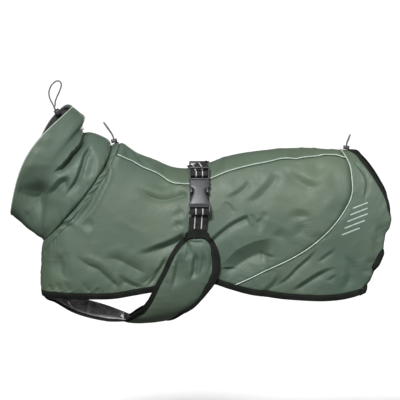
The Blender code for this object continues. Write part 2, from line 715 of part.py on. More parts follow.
def make_belly():
    front, _ = split_at_width(wing_edge(WING_FRONT, WING_FRONT_MIDDLE, 1, 0), STRIP_HALF_WIDTH)
    inner, middle = split_at_width(wing_edge(WING_FRONT, WING_FRONT_MIDDLE, 1, EDGE_MM),
                                   STRIP_HALF_WIDTH - EDGE_MM)
    front, inner = (even_on_body(line, ROWS_WING + 1) for line in (front, inner))
    middle = even_on_body(middle, ROWS_MIDDLE + 1)
    front_in = np.concatenate([inner, middle[1:]])
    rows = ROWS_WING + ROWS_MIDDLE + 1
    rear, rear_in = (even_on_body(wing_edge(WING_REAR, WING_REAR_MIDDLE, -1, inset), rows)
                     for inset in (0, EDGE_MM))
    share = np.linspace(0, 1, 7)[None, :, None]
    half = front_in[:, None] * (1 - share) + rear_in[:, None] * share
    sides = np.concatenate([np.full(rows - 1, LEFT), np.full(rows, RIGHT)])[:, None]
    body_shell("belly_panel", mirrored(half), sides, "shell_fabric", CLOTH, BELLY_OUTER)
    body_shell("belly_rear_binding", mirrored(np.stack([rear_in, rear], axis=1)), sides,
               "binding", BINDING, BELLY_BINDING_OUTER)
    for side, word in ((LEFT, "left"), (RIGHT, "right")):
        body_shell(f"belly_front_binding_{word}", np.stack([front, inner], axis=1),
                   side, "binding", BINDING, BELLY_BINDING_OUTER)
    last = np.concatenate([front[-1:], front_in[ROWS_WING:]])
    make_strip(mirrored(last))


def row_inside_chest(rise, across_strip):
    """A row of the strip's places on the chest front, this far above the hem."""
    line = hem_line(chest_end(rise), 0.4, rise)
    width = np.abs(on_body(line, LEFT, 0.0)[:, 1])
    return np.stack([np.interp(np.abs(across_strip), width, column) for column in line.T], axis=1)


def make_strip(last):
    """The strip from inside the chest's hem, between the front legs, to the belly panel."""
    columns = len(last)
    sides = np.where(np.arange(columns) <= columns // 2, LEFT, RIGHT)
    half = STRIP_HALF_WIDTH * MM
    edge = half - EDGE_BINDING_WIDTH
    steps = np.linspace(0, edge, ROWS_MIDDLE + 1)[1:]
    y = np.concatenate([[-half], -steps[::-1], [0], steps, [half]])
    far = length_along(CHEST_STRIP[:, :2])
    free = through(far, CHEST_STRIP, np.linspace(0, far[-1], 13)) * MM
    sheets = []
    for lift_chest, lift_belly, drop in ((STRIP_INSIDE, BELLY_OUTER, 0.0),
                                         (STRIP_INSIDE - CLOTH, BELLY_LIFT, CLOTH)):
        rows = [on_body(row_inside_chest(rise * MM, y), sides, lift_chest)
                for rise in (9, -3)]
        for x, z, rise in free:
            rows.append(np.stack([np.full(columns, x), y, z + rise * y / half / 2 + drop],
                                 axis=1))
        rows.append(on_body(last, sides, lift_belly))
        sheets.append(np.array(rows))
    lower, upper = sheets
    shell("chest_strip", lower[:, 1:-1], upper[:, 1:-1], "shell_fabric", gap=STRIP_GAP)
    up = (upper - lower) / np.linalg.norm(upper - lower, axis=-1, keepdims=True)
    lining = upper + up * 0.4 * MM
    shell("chest_strip_lining", lining[1:-1, 1:-1], (lining + up * LINING)[1:-1, 1:-1], "lining",
          gap=STRIP_GAP)
    outer, inner = lower - up * 0.5 * MM, upper + up * 0.5 * MM
    for pick, word in (((0, 1), "left"), ((-2, -1), "right")):
        shell(f"chest_strip_binding_{word}", outer[1:, pick], inner[1:, pick], "binding",
              gap=STRIP_GAP)


# ---- straps and buckles ----

def u_at(x, angle):
    """The u where the body's sections pass this x, at this angle."""
    x, angle = np.broadcast_arrays(np.asarray(x, float), np.asarray(angle, float))
    low, high = np.full(x.shape, 0.35), np.full(x.shape, 0.7)
    for _ in range(40):
        u = (low + high) / 2
        short = body_smooth(u, angle, np.ones_like(u))[..., 0] < x
        low, high = np.where(short, u, low), np.where(short, high, u)
    return (low + high) / 2


def web_strip(name, surface, angles, middles, lifts, sides):
    """Webbing that lies on the coat's folded or smooth form, along a row of angles."""
    offsets = np.linspace(-0.5, 0.5, 3) * WEB_WIDTH
    angle = np.repeat(np.asarray(angles)[:, None], 3, axis=1)
    u = u_at(np.asarray(middles)[:, None] + offsets, angle)
    lift = np.asarray(lifts)[:, None]
    side = np.broadcast_to(np.asarray(sides), (len(angles),))[:, None]
    return shell(name, surface(u, angle, side, lift + WEB_THICK),
                 surface(u, angle, side, lift), "webbing")


def smooth_body(u, angle, side, lift):
    """Points lifted off the body's smooth form, which stiff webbing follows."""
    u, angle, side, lift = np.broadcast_arrays(
        *(np.asarray(v, float) for v in (u, angle, side, lift)))
    normal = normals_of(body_smooth, u, angle, side, 1)
    return body_smooth(u, angle, side) + normal * lift[..., None]


def buckle_bend(a):
    """How far the curved buckle's back drops towards the coat, at a distance down it."""
    middle = BUCKLE_LENGTH / 2
    return BUCKLE_CURVE * ((a - middle) / middle) ** 2


def buckle_frame():
    """The left buckle's frame: its seat on the coat, its axes, and its length."""
    ends = find_seen([(STRAP_SIDE_X, BUCKLE_TOP_SEEN), (STRAP_SIDE_X, BUCKLE_END_SEEN)], 2)
    start, end = smooth_body(ends[:, 0], ends[:, 1], LEFT, 0.0)
    down = (end - start) / np.linalg.norm(end - start)
    across_coat = np.array([1.0, 0, 0])
    out = np.cross(down, across_coat)
    out /= np.linalg.norm(out)
    angles = np.linspace(ends[0, 1], ends[1, 1], 20)[:, None]
    edges = STRAP_SIDE_X * MM + np.array([-0.6, 0, 0.6]) * WEB_WIDTH
    under = smooth_body(u_at(edges, angles), angles, LEFT, STRAP_LIFT + WEB_THICK) - start
    room = under @ out + buckle_bend((under @ down) / MM) * MM
    seat = start + out * (room.max() - 0.2 * MM)
    return seat, across_coat, down, out, ends[:, 1]


def placed(name, mesh, frame, side, slot):
    """Puts a buckle piece at its seat, mirrored for the right side."""
    seat, across_coat, down, out, _ = frame
    for vertex in mesh.vertices:
        x, a, n = vertex.co
        n -= buckle_bend(a)
        place = seat + (across_coat * x + down * a + out * n) * MM
        vertex.co = (place[0], -side * place[1], place[2])
    face_outward(mesh)
    return add_object(name, mesh, slot)


def prism(outline, low, high):
    """A closed mesh: an outline of (across, down) points, from one height to another."""
    count = len(outline)
    points = [(x, a, low) for x, a in outline] + [(x, a, high) for x, a in outline]
    faces = [tuple(range(count))[::-1], tuple(range(count, 2 * count))]
    faces += [(i, (i + 1) % count, (i + 1) % count + count, i + count) for i in range(count)]
    mesh = bpy.data.meshes.new("prism")
    mesh.from_pydata(points, [], faces)
    face_outward(mesh)
    return mesh


def block(x, a, n):
    (x0, x1), (a0, a1), (n0, n1) = x, a, n
    return prism([(x0, a0), (x1, a0), (x1, a1), (x0, a1)], n0, n1)


def carved(base, changes):
    """A mesh with others cut from it or joined to it, by Booleans."""
    body_object = bpy.data.objects.new("carved", base)
    tools = []
    bpy.context.scene.collection.objects.link(body_object)
    for operation, mesh in changes:
        tool = bpy.data.objects.new("tool", mesh)
        bpy.context.scene.collection.objects.link(tool)
        modifier = body_object.modifiers.new("cut", "BOOLEAN")
        modifier.operation, modifier.object = operation, tool
        tools.append(tool)
    bpy.context.view_layer.update()
    seen_as = body_object.evaluated_get(bpy.context.evaluated_depsgraph_get())
    result = bpy.data.meshes.new_from_object(seen_as)
    for leftover in [body_object, *tools]:
        bpy.data.objects.remove(leftover)
    return result


def make_buckles():
    frame = buckle_frame()
    slots = [("DIFFERENCE", block((-LADDER_SLOT_HALF, LADDER_SLOT_HALF), slot, (-1, 12)))
             for slot in LADDER_SLOTS]
    arms = [("UNION", block(sorted((s * ARM_INNER, s * ARM_OUTER)), (24, ARM_END),
                            (ARM_LOW, ARM_HIGH))) for s in (-1, 1)]
    channels = [("DIFFERENCE", block(sorted((s * (ARM_INNER - 0.4), s * (ARM_OUTER + 0.4))),
                                     (20, 50), (ARM_LOW - 0.4, ARM_HIGH + 0.4)))
                for s in (-1, 1)]
    socket_slot = ("DIFFERENCE", block((-15.6, 15.6), SOCKET_SLOT, (-1, 12)))
    right_edge = SOCKET_OUTLINE
    outline = right_edge + [(-x, a) for x, a in reversed(right_edge)]
    (_, bar_low), (bar_high, _) = LADDER_SLOTS
    wrap = [(bar_low - 2, 0), (bar_low - 2, 6.5), (bar_high + 2, 6.5), (bar_high + 2, 0),
            (bar_high + 0.4, 0), (bar_high + 0.4, 4.9), (bar_low - 0.4, 4.9), (bar_low - 0.4, 0)]
    for side, word in ((LEFT, "left"), (RIGHT, "right")):
        ladder = carved(block((-LADDER_HALF, LADDER_HALF), (0, LADDER_LENGTH),
                              (0, LADDER_THICK)), slots + arms)
        socket = carved(prism(outline, 0, SOCKET_THICK), channels + [socket_slot])
        placed(f"buckle_plug_{word}", ladder, frame, side, "buckle_plastic")
        placed(f"buckle_socket_{word}", socket, frame, side, "buckle_plastic")
        loop = prism(wrap, -14, 14)
        for vertex in loop.vertices:
            a, n, x = vertex.co
            vertex.co = (x, a, n)
        placed(f"buckle_webbing_{word}", loop, frame, side, "webbing")
    return frame


def make_straps(frame):
    *_, (top_angle, end_angle) = frame
    angles = np.linspace(0, end_angle - 0.12, 22)
    angles = np.concatenate([-angles[:0:-1], angles])
    sides = np.where(angles < 0, LEFT, RIGHT)
    share = np.clip(np.abs(angles) / top_angle, 0, 1)
    middles = (STRAP_TOP_X + (STRAP_SIDE_X - STRAP_TOP_X) * share) * MM
    web_strip("back_strap", smooth_body, np.abs(angles), middles,
              np.full(len(angles), STRAP_LIFT), sides)
    stop = find_seen([(STRAP_SIDE_X, WEB_END_SEEN + 30), (1, WEB_END_SEEN)], 2)[-1, 1]
    angles = np.linspace(end_angle + 0.03, stop, 7)
    middles = np.linspace(STRAP_SIDE_X - 1, 0, 7) * MM
    lifts = np.maximum(np.linspace(STRAP_LIFT, -UNDER_WING, 7), UNDER_WING)
    for side, word in ((LEFT, "left"), (RIGHT, "right")):
        web_strip(f"side_strap_{word}", body, angles, middles, lifts, side)


# ---- cord locks and cords ----

def make_lock(name, size, foot, up, along):
    """A cord lock standing on a point, its length along the coat's edge.

    Returns the middle of its top, and its up and along directions.
    """
    up = up / np.linalg.norm(up)
    along = along - up * (along @ up)
    along /= np.linalg.norm(along)
    axes = np.stack([np.cross(along, up), along, up])
    centre = foot + up * size[2] / 2 * MM
    shape = bmesh.new()
    bmesh.ops.create_cube(shape, size=1)
    for vertex in shape.verts:
        vertex.co = [c * s * MM for c, s in zip(vertex.co, size)]
    bmesh.ops.bevel(shape, geom=shape.edges[:], offset=1.6 * MM, segments=2, affect="EDGES")
    for vertex in shape.verts:
        vertex.co = centre + np.array(vertex.co) @ axes
    mesh = bpy.data.meshes.new(name)
    shape.to_mesh(mesh)
    shape.free()
    face_outward(mesh)
    add_object(name, mesh, "buckle_plastic")
    return foot + up * (size[2] + 0.3) * MM, up, along


def make_cord(name, loop, top, up, along):
    """A cord that leaves a lock's top, loops round and comes back to it."""
    side = along * CORD_APART * (-1 if along[1] > 0 else 1)
    rise = up * 3 * MM
    route = np.array([top + side, top + side + rise, *(np.array(loop) * MM + top),
                      top - side + rise, top - side])
    far = length_along(route)
    points = through(far, route, np.linspace(0, far[-1], int(far[-1] / CORD_DIAMETER / 1.6)))
    tube(name, points, CORD_DIAMETER / 2, "cord", roundness=2)


def collar_lock_seat():
    """The foot of the lock inside the collar's rim, and its up and along directions."""
    around = 2 * math.pi - COLLAR_LOCK_AROUND
    inside = -CLOTH - LINING - 2 * MM - COLLAR_LOCK[0] / 2 * MM
    low, top = collar(0.9, around, inside), collar(1.0, around, inside)
    up = (top - low) / np.linalg.norm(top - low)
    along = collar(1.0, around - 0.1, inside) - collar(1.0, around + 0.1, inside)
    return top - up * COLLAR_LOCK[2] * MM, up, along


def make_cords():
    lock = make_lock("collar_lock", COLLAR_LOCK, *collar_lock_seat())
    make_cord("collar_cord", COLLAR_LOOP, *lock)
    across_coat = np.array([0.0, 1.0, 0.0])
    neck = body(U_CHANNEL / 2, 0.0, LEFT, 3.6 * MM)
    lock = make_lock("neck_lock", NECK_LOCK, neck, np.array([-0.25, 0, 1]), across_coat)
    make_cord("neck_cord", NECK_LOOP, *lock)
    tail = body(TAIL_LOCK_U, 0.0, LEFT, 1.2 * MM)
    lock = make_lock("tail_lock", TAIL_LOCK, tail, np.array([0.1, 0, 1]), across_coat)
    make_cord("tail_cord", TAIL_LOOP, *lock)


def main():
    for old in list(bpy.data.objects):
        bpy.data.objects.remove(old)
    lines = seam_lines()
    side_places, haunch_places = make_body(lines)
    make_hem_bindings(lines, side_places, haunch_places)
    make_rear_binding(lines, haunch_places)
    make_neck_channel()
    make_collar()
    make_belly()
    make_straps(make_buckles())
    make_cords()


main()
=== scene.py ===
"""Looks for a dog's winter coat, filled out as it is when worn, with nobody in it.

The dog would face -X with its back up, +Z. The left side is at -Y and faces the
camera. Lengths in tables are in mm. The body is a skin over slanting sections: a
place on it is (u, angle), with u from the neck seam (0) to past the tail (1.08), and
angle from the middle of the back (0) round to the middle of the belly (pi). Seams,
edges and folds are drawn as they are seen from the left and a little above.
"""

import math

import bmesh
import bpy
import numpy as np
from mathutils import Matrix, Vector


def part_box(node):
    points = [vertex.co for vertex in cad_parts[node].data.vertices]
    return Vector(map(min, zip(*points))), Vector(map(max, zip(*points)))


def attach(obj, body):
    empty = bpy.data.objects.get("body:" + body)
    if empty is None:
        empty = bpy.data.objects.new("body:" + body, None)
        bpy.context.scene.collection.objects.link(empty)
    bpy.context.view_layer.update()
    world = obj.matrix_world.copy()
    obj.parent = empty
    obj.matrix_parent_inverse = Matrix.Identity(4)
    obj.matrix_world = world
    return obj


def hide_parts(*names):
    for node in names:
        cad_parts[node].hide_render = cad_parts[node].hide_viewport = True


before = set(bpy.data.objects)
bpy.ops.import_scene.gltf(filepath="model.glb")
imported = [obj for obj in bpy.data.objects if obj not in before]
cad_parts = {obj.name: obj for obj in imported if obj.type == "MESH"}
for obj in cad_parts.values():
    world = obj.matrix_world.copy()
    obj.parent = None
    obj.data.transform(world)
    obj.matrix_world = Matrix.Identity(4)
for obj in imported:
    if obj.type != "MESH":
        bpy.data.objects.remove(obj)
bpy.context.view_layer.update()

MM = 0.001
SEEN_RAISE = math.radians(7)  # the camera looks down on the coat by this much
CLOTH = 1.5 * MM
BINDING = 3.0 * MM
PIPING_RADIUS = 1.15 * MM
CORD_DIAMETER = 2.5 * MM
WEB_WIDTH, WEB_THICK = 31.5 * MM, 1.6 * MM
HEM_BINDING_WIDTH = 10.5 * MM
EDGE_BINDING_WIDTH = 8 * MM
LEFT, RIGHT = -1, 1
SIDES = ((LEFT, "left"), (RIGHT, "right"))
U_CHANNEL = 0.045  # where the gathered cord channel ends

# Where a search for a place on the body starts and ends, in u
BODY_U, CHEST_U, STRAP_U = (-0.02, 1.1), (0.05, 0.4), (0.35, 0.7)

# Seeds of the small wrinkles. Each piece also draws from the numbers that follow its own
BODY_SEED, BACK_SEED, COLLAR_SEED, SIDE_SEED = 3, 11, 23, 31
STRIP_SEED, HAUNCH_SEED, NECK_SEED, BELLY_SEED = 41, 51, 81, 91

# u, top of the back x and z, middle of the belly x and z, half-width, bow to the rear
BODY_SECTIONS = np.array([
    (0.00, -142, 35, -256, -122, 58, 10),
    (0.04, -131, 40, -259, -138, 62, 10),
    (0.08, -122, 39, -260, -158, 65, 9),
    (0.12, -112, 32, -261, -180, 68, 8),
    (0.18, -95, 21, -260, -206, 71, 6),
    (0.26, -67, 11, -250, -236, 74, 4),
    (0.34, -45, 1, -215, -250, 75, 3),
    (0.42, -22, -3, -130, -254, 75, 1),
    (0.50, 0, 0, -30, -250, 74, 0),
    (0.56, 20, 7, 30, -252, 74, 1),
    (0.64, 47, 17, 70, -260, 73, 3),
    (0.70, 72, 22, 100, -268, 72, 6),
    (0.78, 110, 28, 135, -276, 71, 13),
    (0.86, 155, 32, 175, -280, 70, 26),
    (0.92, 188, 32, 205, -282, 69, 38),
    (0.96, 222, 30, 228, -284, 66, 50),
    (1.00, 238, 29, 245, -285, 64, 57),
    (1.04, 257, 29, 257, -285, 60, 65),
    (1.08, 275, 28, 272, -285, 56, 70),
])
ROUND_ABOVE, ROUND_BELOW = 2.2, 2.7  # superellipse powers over and under mid-height
BOW_SKEW = 0.66  # under 1 puts the widest place of the bow above mid-height

# w, nape x and z, throat x and z, half-width, bow and its skew on the left, on the right
COLLAR_RINGS = np.array([
    (0.00, -142, 35, -256, -122, 58, 10, 0.66, 10, 0.66),
    (0.12, -148, 45, -261, -119, 58, 8, 0.70, 8, 0.66),
    (0.25, -163, 53, -267, -116, 58, 3, 0.78, 3, 0.62),
    (0.40, -178, 59, -275, -109, 57, -4, 0.85, -4, 0.58),
    (0.50, -187, 62, -281, -104, 56, -8, 0.90, -7, 0.55),
    (0.58, -190, 70, -286, -99, 56, -12, 0.93, -10, 0.50),
    (0.68, -186, 82, -293, -92, 56, -16, 0.96, -14, 0.46),
    (0.80, -195, 92, -300, -86, 55, -20, 1.00, -17, 0.42),
    (1.00, -208, 102, -311, -77, 54, -26, 1.00, -21, 0.40),
])

# Seams and edges as seen from the side: x, z
SPINE_SEAM = [
    (-150, 27), (-128, 18), (-112, 11), (-92, 0), (-65, -12), (-42, -26), (-13, -29),
    (5, -27), (23, -20), (55, -7), (88, 2), (122, 9), (138, 13), (172, 14), (205, 19),
    (230, 19), (248, 14),
]
HAUNCH_SEAM = [
    (238, 29), (243, 22), (248, 14), (254, 0), (257, -22), (258, -35), (255, -52),
    (248, -67), (227, -97), (192, -130), (155, -153), (123, -168), (88, -185), (45, -203),
]
REAR_EDGE = [
    (257, 29), (265, 27), (275, 15), (290, -5), (307, -33), (317, -53), (321, -77),
    (319, -102), (315, -130), (307, -155), (294, -178), (285, -198), (279, -214),
    (275, -226),
]
# The hem's height, level around the chest: x, z
HEM = np.array([
    (-300, -213), (-195, -214), (-137, -213), (-112, -209), (-80, -203), (-28, -196),
    (28, -188), (53, -196), (88, -206), (122, -211), (158, -215), (222, -217),
    (247, -214), (263, -210), (277, -205), (290, -198),
])
# The belly panel's two edges, seen from the side, from the buckle down: x, z
WING_FRONT = [(-17, -114), (-29, -124), (-40, -138), (-48, -152), (-57, -172), (-67, -190),
              (-78, -212), (-85, -224), (-95, -235)]
WING_REAR = [(17, -112), (27, -121), (35, -138), (38, -156), (36, -178), (30, -192),
             (19, -206), (8, -218), (-5, -230), (-17, -237)]
WING_FRONT_MIDDLE, WING_REAR_MIDDLE = -134, -54  # their x under the belly
FAR_WING_IN = 8  # how much narrower the wing on the far side hangs
WING_TOP_LOWER = [(-21, -122), (-13, -119), (-5, -118), (6, -118), (14, -119), (21, -122)]
WING_TOP_UPPER = [(-19, -110), (-12, -104.5), (-4, -102.5), (5, -102.5), (13, -104.5), (20, -110)]
STRIP_HALF_WIDTH = 33
# The chest strip between the legs: x and z of its middle line, rise of its right edge
CHEST_STRIP = np.array([
    (-236, -219, 8), (-226, -223, 12), (-212, -229, 17), (-195, -235, 19), (-178, -240, 19),
    (-162, -244, 18), (-145, -248, 15), (-130, -251, 9),
])

# Folds as seen from the side: kind, width of the shaded face, depth, how much of the
# line its ends take to fade in and out, and its line of x, z. The shaded face is to
# the right of a ridge's line, and to the left of a crease's. A soft one has both.
RIDGE, CREASE, SOFT = 1, 2, 3
BODY_FOLDS = [
    (RIDGE, 7, 5.4, 0.15, 0.05, [(14, -126), (27, -114), (40, -103), (55, -92), (70, -84),
                                (84, -78)]),
    (RIDGE, 4, 2.6, 0.05, 0.5, [(94, -96), (89, -87), (83, -78)]),
    (RIDGE, 13, 3.6, 0.3, 0.5, [(98, -76), (110, -73), (118, -77), (116, -90), (110, -106),
                                (101, -118)]),
    (RIDGE, 23, 10.5, 0.5, 0.16, [(24, -178), (36, -167), (50, -153), (65, -138), (84, -128),
                                  (104, -121), (126, -119)]),
    (RIDGE, 6, 3.1, 0.2, 0.3, [(104, -141), (114, -142), (124, -145), (130, -150)]),
    (RIDGE, 5, 3.2, 0.4, 0.5, [(38, -167), (52, -166), (60, -167), (68, -169)]),
    (RIDGE, 12, 3.4, 0.4, 0.5, [(142, -92), (150, -80), (162, -71), (176, -70), (186, -76),
                                (188, -92), (182, -108)]),
    (RIDGE, 12, 3.1, 0.4, 0.5, [(152, -118), (160, -102), (170, -88), (182, -84)]),
    (RIDGE, 12, 2.6, 0.4, 0.4, [(122, -112), (132, -104), (140, -98)]),
    (RIDGE, 7, 3.4, 0.4, 0.3, [(44, -50), (58, -43), (72, -33), (87, -17)]),
    (RIDGE, 11, 4.3, 0.4, 0.2, [(76, -53), (90, -48), (104, -34), (117, -20), (124, -4)]),
    (CREASE, 4, 1.4, 0.3, 0.3, [(44, -58), (52, -63), (58, -71), (63, -78)]),
    (RIDGE, 13, 4.1, 0.4, 0.3, [(146, 6), (160, -4), (176, -14), (192, -22), (208, -26)]),
    (SOFT, 12, 2.4, 0.5, 0.5, [(178, 4), (198, -1), (222, 2)]),
    (SOFT, 9, 2.6, 0.4, 0.4, [(246, -50), (236, -70), (222, -90)]),
    (CREASE, 7, 2.4, 0.3, 0.5, [(190, -123), (201, -117), (214, -112)]),
    (CREASE, 10, 5.5, 0.4, 0.1, [(-100, -28), (-92, -40), (-78, -49), (-62, -54), (-45, -53),
                                 (-30, -48), (-14, -43)]),
    (SOFT, 10, 1.9, 0.5, 0.3, [(-84, -22), (-60, -33), (-36, -38), (-16, -37)]),
    (RIDGE, 11, 8.4, 0.5, 0.08, [(-103, -145), (-97, -139), (-84, -135), (-67, -128), (-48, -121),
                                 (-29, -111), (-23, -107)]),
    (CREASE, 12, 4.1, 0.35, 0.3, [(-158, -152), (-136, -153), (-119, -160), (-101, -170),
                                  (-80, -179)]),
    (CREASE, 8, 4.3, 0.3, 0.15, [(-202, -147), (-190, -157), (-178, -165), (-165, -170),
                                 (-156, -178), (-146, -187), (-128, -203)]),
    (RIDGE, 7, 3.2, 0.5, 0.45, [(-131, -204), (-131, -190), (-134, -178)]),
    (RIDGE, 8, 3.6, 0.2, 0.5, [(-122, -182), (-112, -187), (-98, -193), (-86, -196)]),
    (CREASE, 8, 2.9, 0.3, 0.4, [(-62, -166), (-72, -179), (-84, -190), (-98, -197)]),
    (RIDGE, 20, 3.8, 0.4, 0.4, [(-206, -142), (-209, -158), (-206, -172), (-200, -186)]),
    (SOFT, 12, 2.4, 0.4, 0.4, [(-246, -160), (-232, -163), (-216, -160)]),
    (CREASE, 5, 2.2, 0.1, 0.6, [(-243, -206), (-246, -194)]),
    (CREASE, 5, 2.2, 0.1, 0.6, [(-228, -207), (-233, -190)]),
    (CREASE, 5, 1.9, 0.1, 0.6, [(-212, -208), (-218, -194), (-222, -186)]),
    (CREASE, 5, 2.2, 0.1, 0.6, [(-178, -208), (-186, -198), (-192, -188)]),
    (CREASE, 4, 1.4, 0.2, 0.5, [(-168, -208), (-160, -199)]),
    (SOFT, 7, 1.9, 0.4, 0.4, [(-190, -92), (-180, -96), (-168, -98)]),
    (SOFT, 5, 3.6, 0.2, 0.3, [(-149, 16), (-151, 0), (-155, -20), (-163, -36), (-170, -50),
                              (-177, -63), (-186, -74), (-196, -88), (-206, -98)]),
    (CREASE, 5, 3.1, 0.3, 0.3, [(-232, -92), (-222, -97), (-212, -98), (-203, -94)]),
    (SOFT, 6, 1.7, 0.3, 0.6, [(-20, -72), (-30, -78), (-44, -80)]),
    (SOFT, 5, 1.7, 0.3, 0.6, [(-22, -94), (-32, -97), (-42, -101)]),
    (RIDGE, 4, 3.1, 0.3, 0.4, [(274, -58), (277, -40), (278, -24), (273, -12), (264, 0),
                               (256, 12)]),
    (RIDGE, 6, 4.1, 0.4, 0.3, [(122, -200), (138, -190), (150, -180), (160, -169), (171, -159),
                               (186, -146), (200, -132)]),
    (RIDGE, 8, 5.3, 0.2, 0.4, [(156, -205), (170, -193), (184, -184), (200, -174), (216, -167),
                               (234, -164)]),
    (RIDGE, 6, 2.6, 0.3, 0.4, [(196, -158), (208, -147), (218, -140), (232, -131)]),
    (RIDGE, 5, 2.2, 0.3, 0.4, [(212, -188), (222, -181), (234, -175)]),
    (RIDGE, 9, 3.1, 0.3, 0.4, [(288, -168), (290, -150), (287, -130), (284, -112)]),
    (RIDGE, 12, 3.8, 0.4, 0.4, [(236, -206), (242, -186), (243, -164), (238, -146)]),
    (SOFT, 7, 2.6, 0.4, 0.4, [(301, -92), (304, -112), (303, -132)]),
    (SOFT, 8, 2.4, 0.4, 0.2, [(291, -146), (288, -164), (282, -182)]),
    (RIDGE, 7, 2.4, 0.5, 0.4, [(-122, 36), (-108, 24), (-99, 12)]),
    (RIDGE, 6, 1.8, 0.5, 0.4, [(-98, 27), (-84, 10), (-72, -4)]),
    (SOFT, 7, 2.4, 0.3, 0.4, [(-68, 16), (-56, 0), (-48, -14)]),
    (SOFT, 8, 2.6, 0.2, 0.4, [(40, 20), (34, 4), (28, -10)]),
    (SOFT, 9, 3.8, 0.2, 0.3, [(172, 37), (163, 24), (154, 14)]),
    (RIDGE, 6, 3.4, 0.2, 0.3, [(188, 37), (198, 28), (208, 20)]),
    (SOFT, 5, 2.9, 0.2, 0.3, [(226, 35), (220, 27), (212, 20)]),
    (RIDGE, 6, 4.8, 0.3, 0.2, [(-85, -198), (-74, -181), (-63, -163), (-54, -147)]),
    (RIDGE, 8, 3.6, 0.4, 0.3, [(92, -212), (112, -200), (126, -186), (134, -172)]),
    (RIDGE, 7, 2.9, 0.4, 0.3, [(232, 6), (238, -12), (240, -32), (234, -52)]),
]
WING_FOLDS = [
    (RIDGE, 3, 2.0, 0.2, 0.2, [(-14, -119.5), (-6, -121), (3, -121.5), (11, -120.5)]),
    (RIDGE, 5, 3.0, 0.4, 0.3, [(-22, -156), (-20, -143), (-18, -131), (-17, -121)]),
    (RIDGE, 7, 6.5, 0.3, 0.3, [(-14, -186), (-11, -170), (-9, -154), (-6, -139)]),
    (RIDGE, 5, 4.0, 0.4, 0.4, [(3, -178), (5, -164), (6, -151), (5, -138)]),
    (RIDGE, 7, 5.0, 0.4, 0.3, [(-46, -204), (-43, -188), (-40, -171), (-36, -152), (-31, -138)]),
    (RIDGE, 5, 3.0, 0.4, 0.4, [(14, -180), (18, -165), (19, -150), (15, -134)]),
    (SOFT, 9, 2.0, 0.4, 0.4, [(-24, -150), (-29, -175), (-38, -200)]),
]
COLLAR_FOLDS = [
    (RIDGE, 6, 7.0, 0.3, 0.15, [(-223, -50), (-216, -40), (-210, -31), (-203, -20), (-197, -4),
                                (-193, 7), (-190, 20), (-185, 29), (-176, 39)]),
    (RIDGE, 10, 8.0, 0.4, 0.2, [(-253, -51), (-244, -36), (-235, -25), (-224, -17), (-210, -14)]),
    (RIDGE, 58, 18.0, 0.45, 0.4, [(-322, -6), (-300, -1), (-278, 2), (-256, 3), (-234, 2)]),
    (SOFT, 26, 10.0, 0.5, 0.35, [(-262, -104), (-260, -78), (-257, -48), (-252, -20)]),
    (CREASE, 5, 4.0, 0.4, 0.3, [(-273, -110), (-278, -98), (-283, -88), (-289, -74)]),
    (SOFT, 5, 2.2, 0.3, 0.5, [(-188, 58), (-187, 46), (-190, 34)]),
    (SOFT, 5, 1.8, 0.3, 0.5, [(-174, 56), (-178, 44), (-180, 36)]),
    (SOFT, 6, 2.0, 0.4, 0.4, [(-168, 24), (-172, 8), (-176, -8), (-184, -24)]),
    (SOFT, 8, 1.5, 0.5, 0.5, [(-270, 48), (-262, 36), (-252, 22)]),
]
# The cuff hangs over this line, from the hollow at its end up to the nape
CUFF_LINE = [(-239, -12), (-233, -2), (-228, 5), (-220, 15), (-211, 27), (-203, 36),
             (-198, 43), (-193, 53), (-189, 64)]
CUFF_LIP, CUFF_DEPTH, CUFF_OVERHANG, CUFF_TURN, CUFF_FLOOR, CUFF_REACH = 2, 15, 5, 2.5, 8, 6

# Free cord loops, from over one side of the lock's top round to the other: x, y, z
COLLAR_LOOP = [
    (-3.5, -1.5, 7.5), (-6.6, -1.2, 13), (-10, -0.8, 21), (-11, -0.4, 29), (-9, 0, 37),
    (-4.5, 0.3, 44), (1.5, 0.5, 48.2), (6.5, 0.8, 48), (9.3, 1.2, 44.5), (9, 1.6, 38),
    (6, 2, 30), (2, 2.2, 21), (-0.8, 2, 13), (-1, 1.7, 7),
]
NECK_LOOP = [
    (-3, -3, 8), (-6.5, -5, 13.5), (-10.5, -6, 19), (-14, -5, 24), (-16.2, -2, 27),
    (-16.2, 2, 27), (-14, 5, 24), (-10.5, 6, 19), (-6.5, 5, 13.5), (-3, 3, 8),
]
TAIL_LOOP = [
    (1.6, -3.6, 7), (3.2, -5, 11), (4.8, -4.4, 15), (5.8, -1.8, 17.6), (5.8, 1.8, 17.6),
    (4.8, 4.4, 15), (3.2, 5, 11), (1.6, 3.6, 7),
]
STITCH_LENGTH, STITCH_STEP, STITCH_RADIUS = 2.4 * MM, 3.4 * MM, 0.32 * MM
SEAM_STITCH_IN = 2.6 * MM
STITCH_SIDES = 6
STITCH_RINGS = np.array([  # along a stitch, in lengths; thickness and height, in radii
    (-0.5, 0.3, -0.9), (-0.3, 0.85, -0.1), (0, 1, 0.2), (0.3, 0.85, -0.1), (0.5, 0.3, -0.9),
])

# The motif on the haunch: where its first bar starts, a bar, and the step to the next
MOTIF_BARS = 5
MOTIF_START, MOTIF_BAR, MOTIF_STEP, MOTIF_WIDTH = (240, -113), (36, 14), (4.5, 11), 2.2
MOTIF_LIFT, MOTIF_THICK = 0.15 * MM, 0.4 * MM

CORD_APART, CORD_RISE = 1.6 * MM, 3 * MM  # a loop's ends, and their straight part
CORD_POINTS = 60
CORDS = (  # name, free loop, the lock's size, its way up and the way to its button
    ("collar", COLLAR_LOOP, (9, 16, 8), ((-0.6, -0.2, 0.77), (-0.3, 0.95, 0.0))),
    ("neck", NECK_LOOP, (10, 16, 5.5), ((-0.25, 0, 1), (0, 1, 0))),
    ("tail", TAIL_LOOP, (10, 16, 5.5), ((0.1, 0, 1), (0, 1, 0))),
)

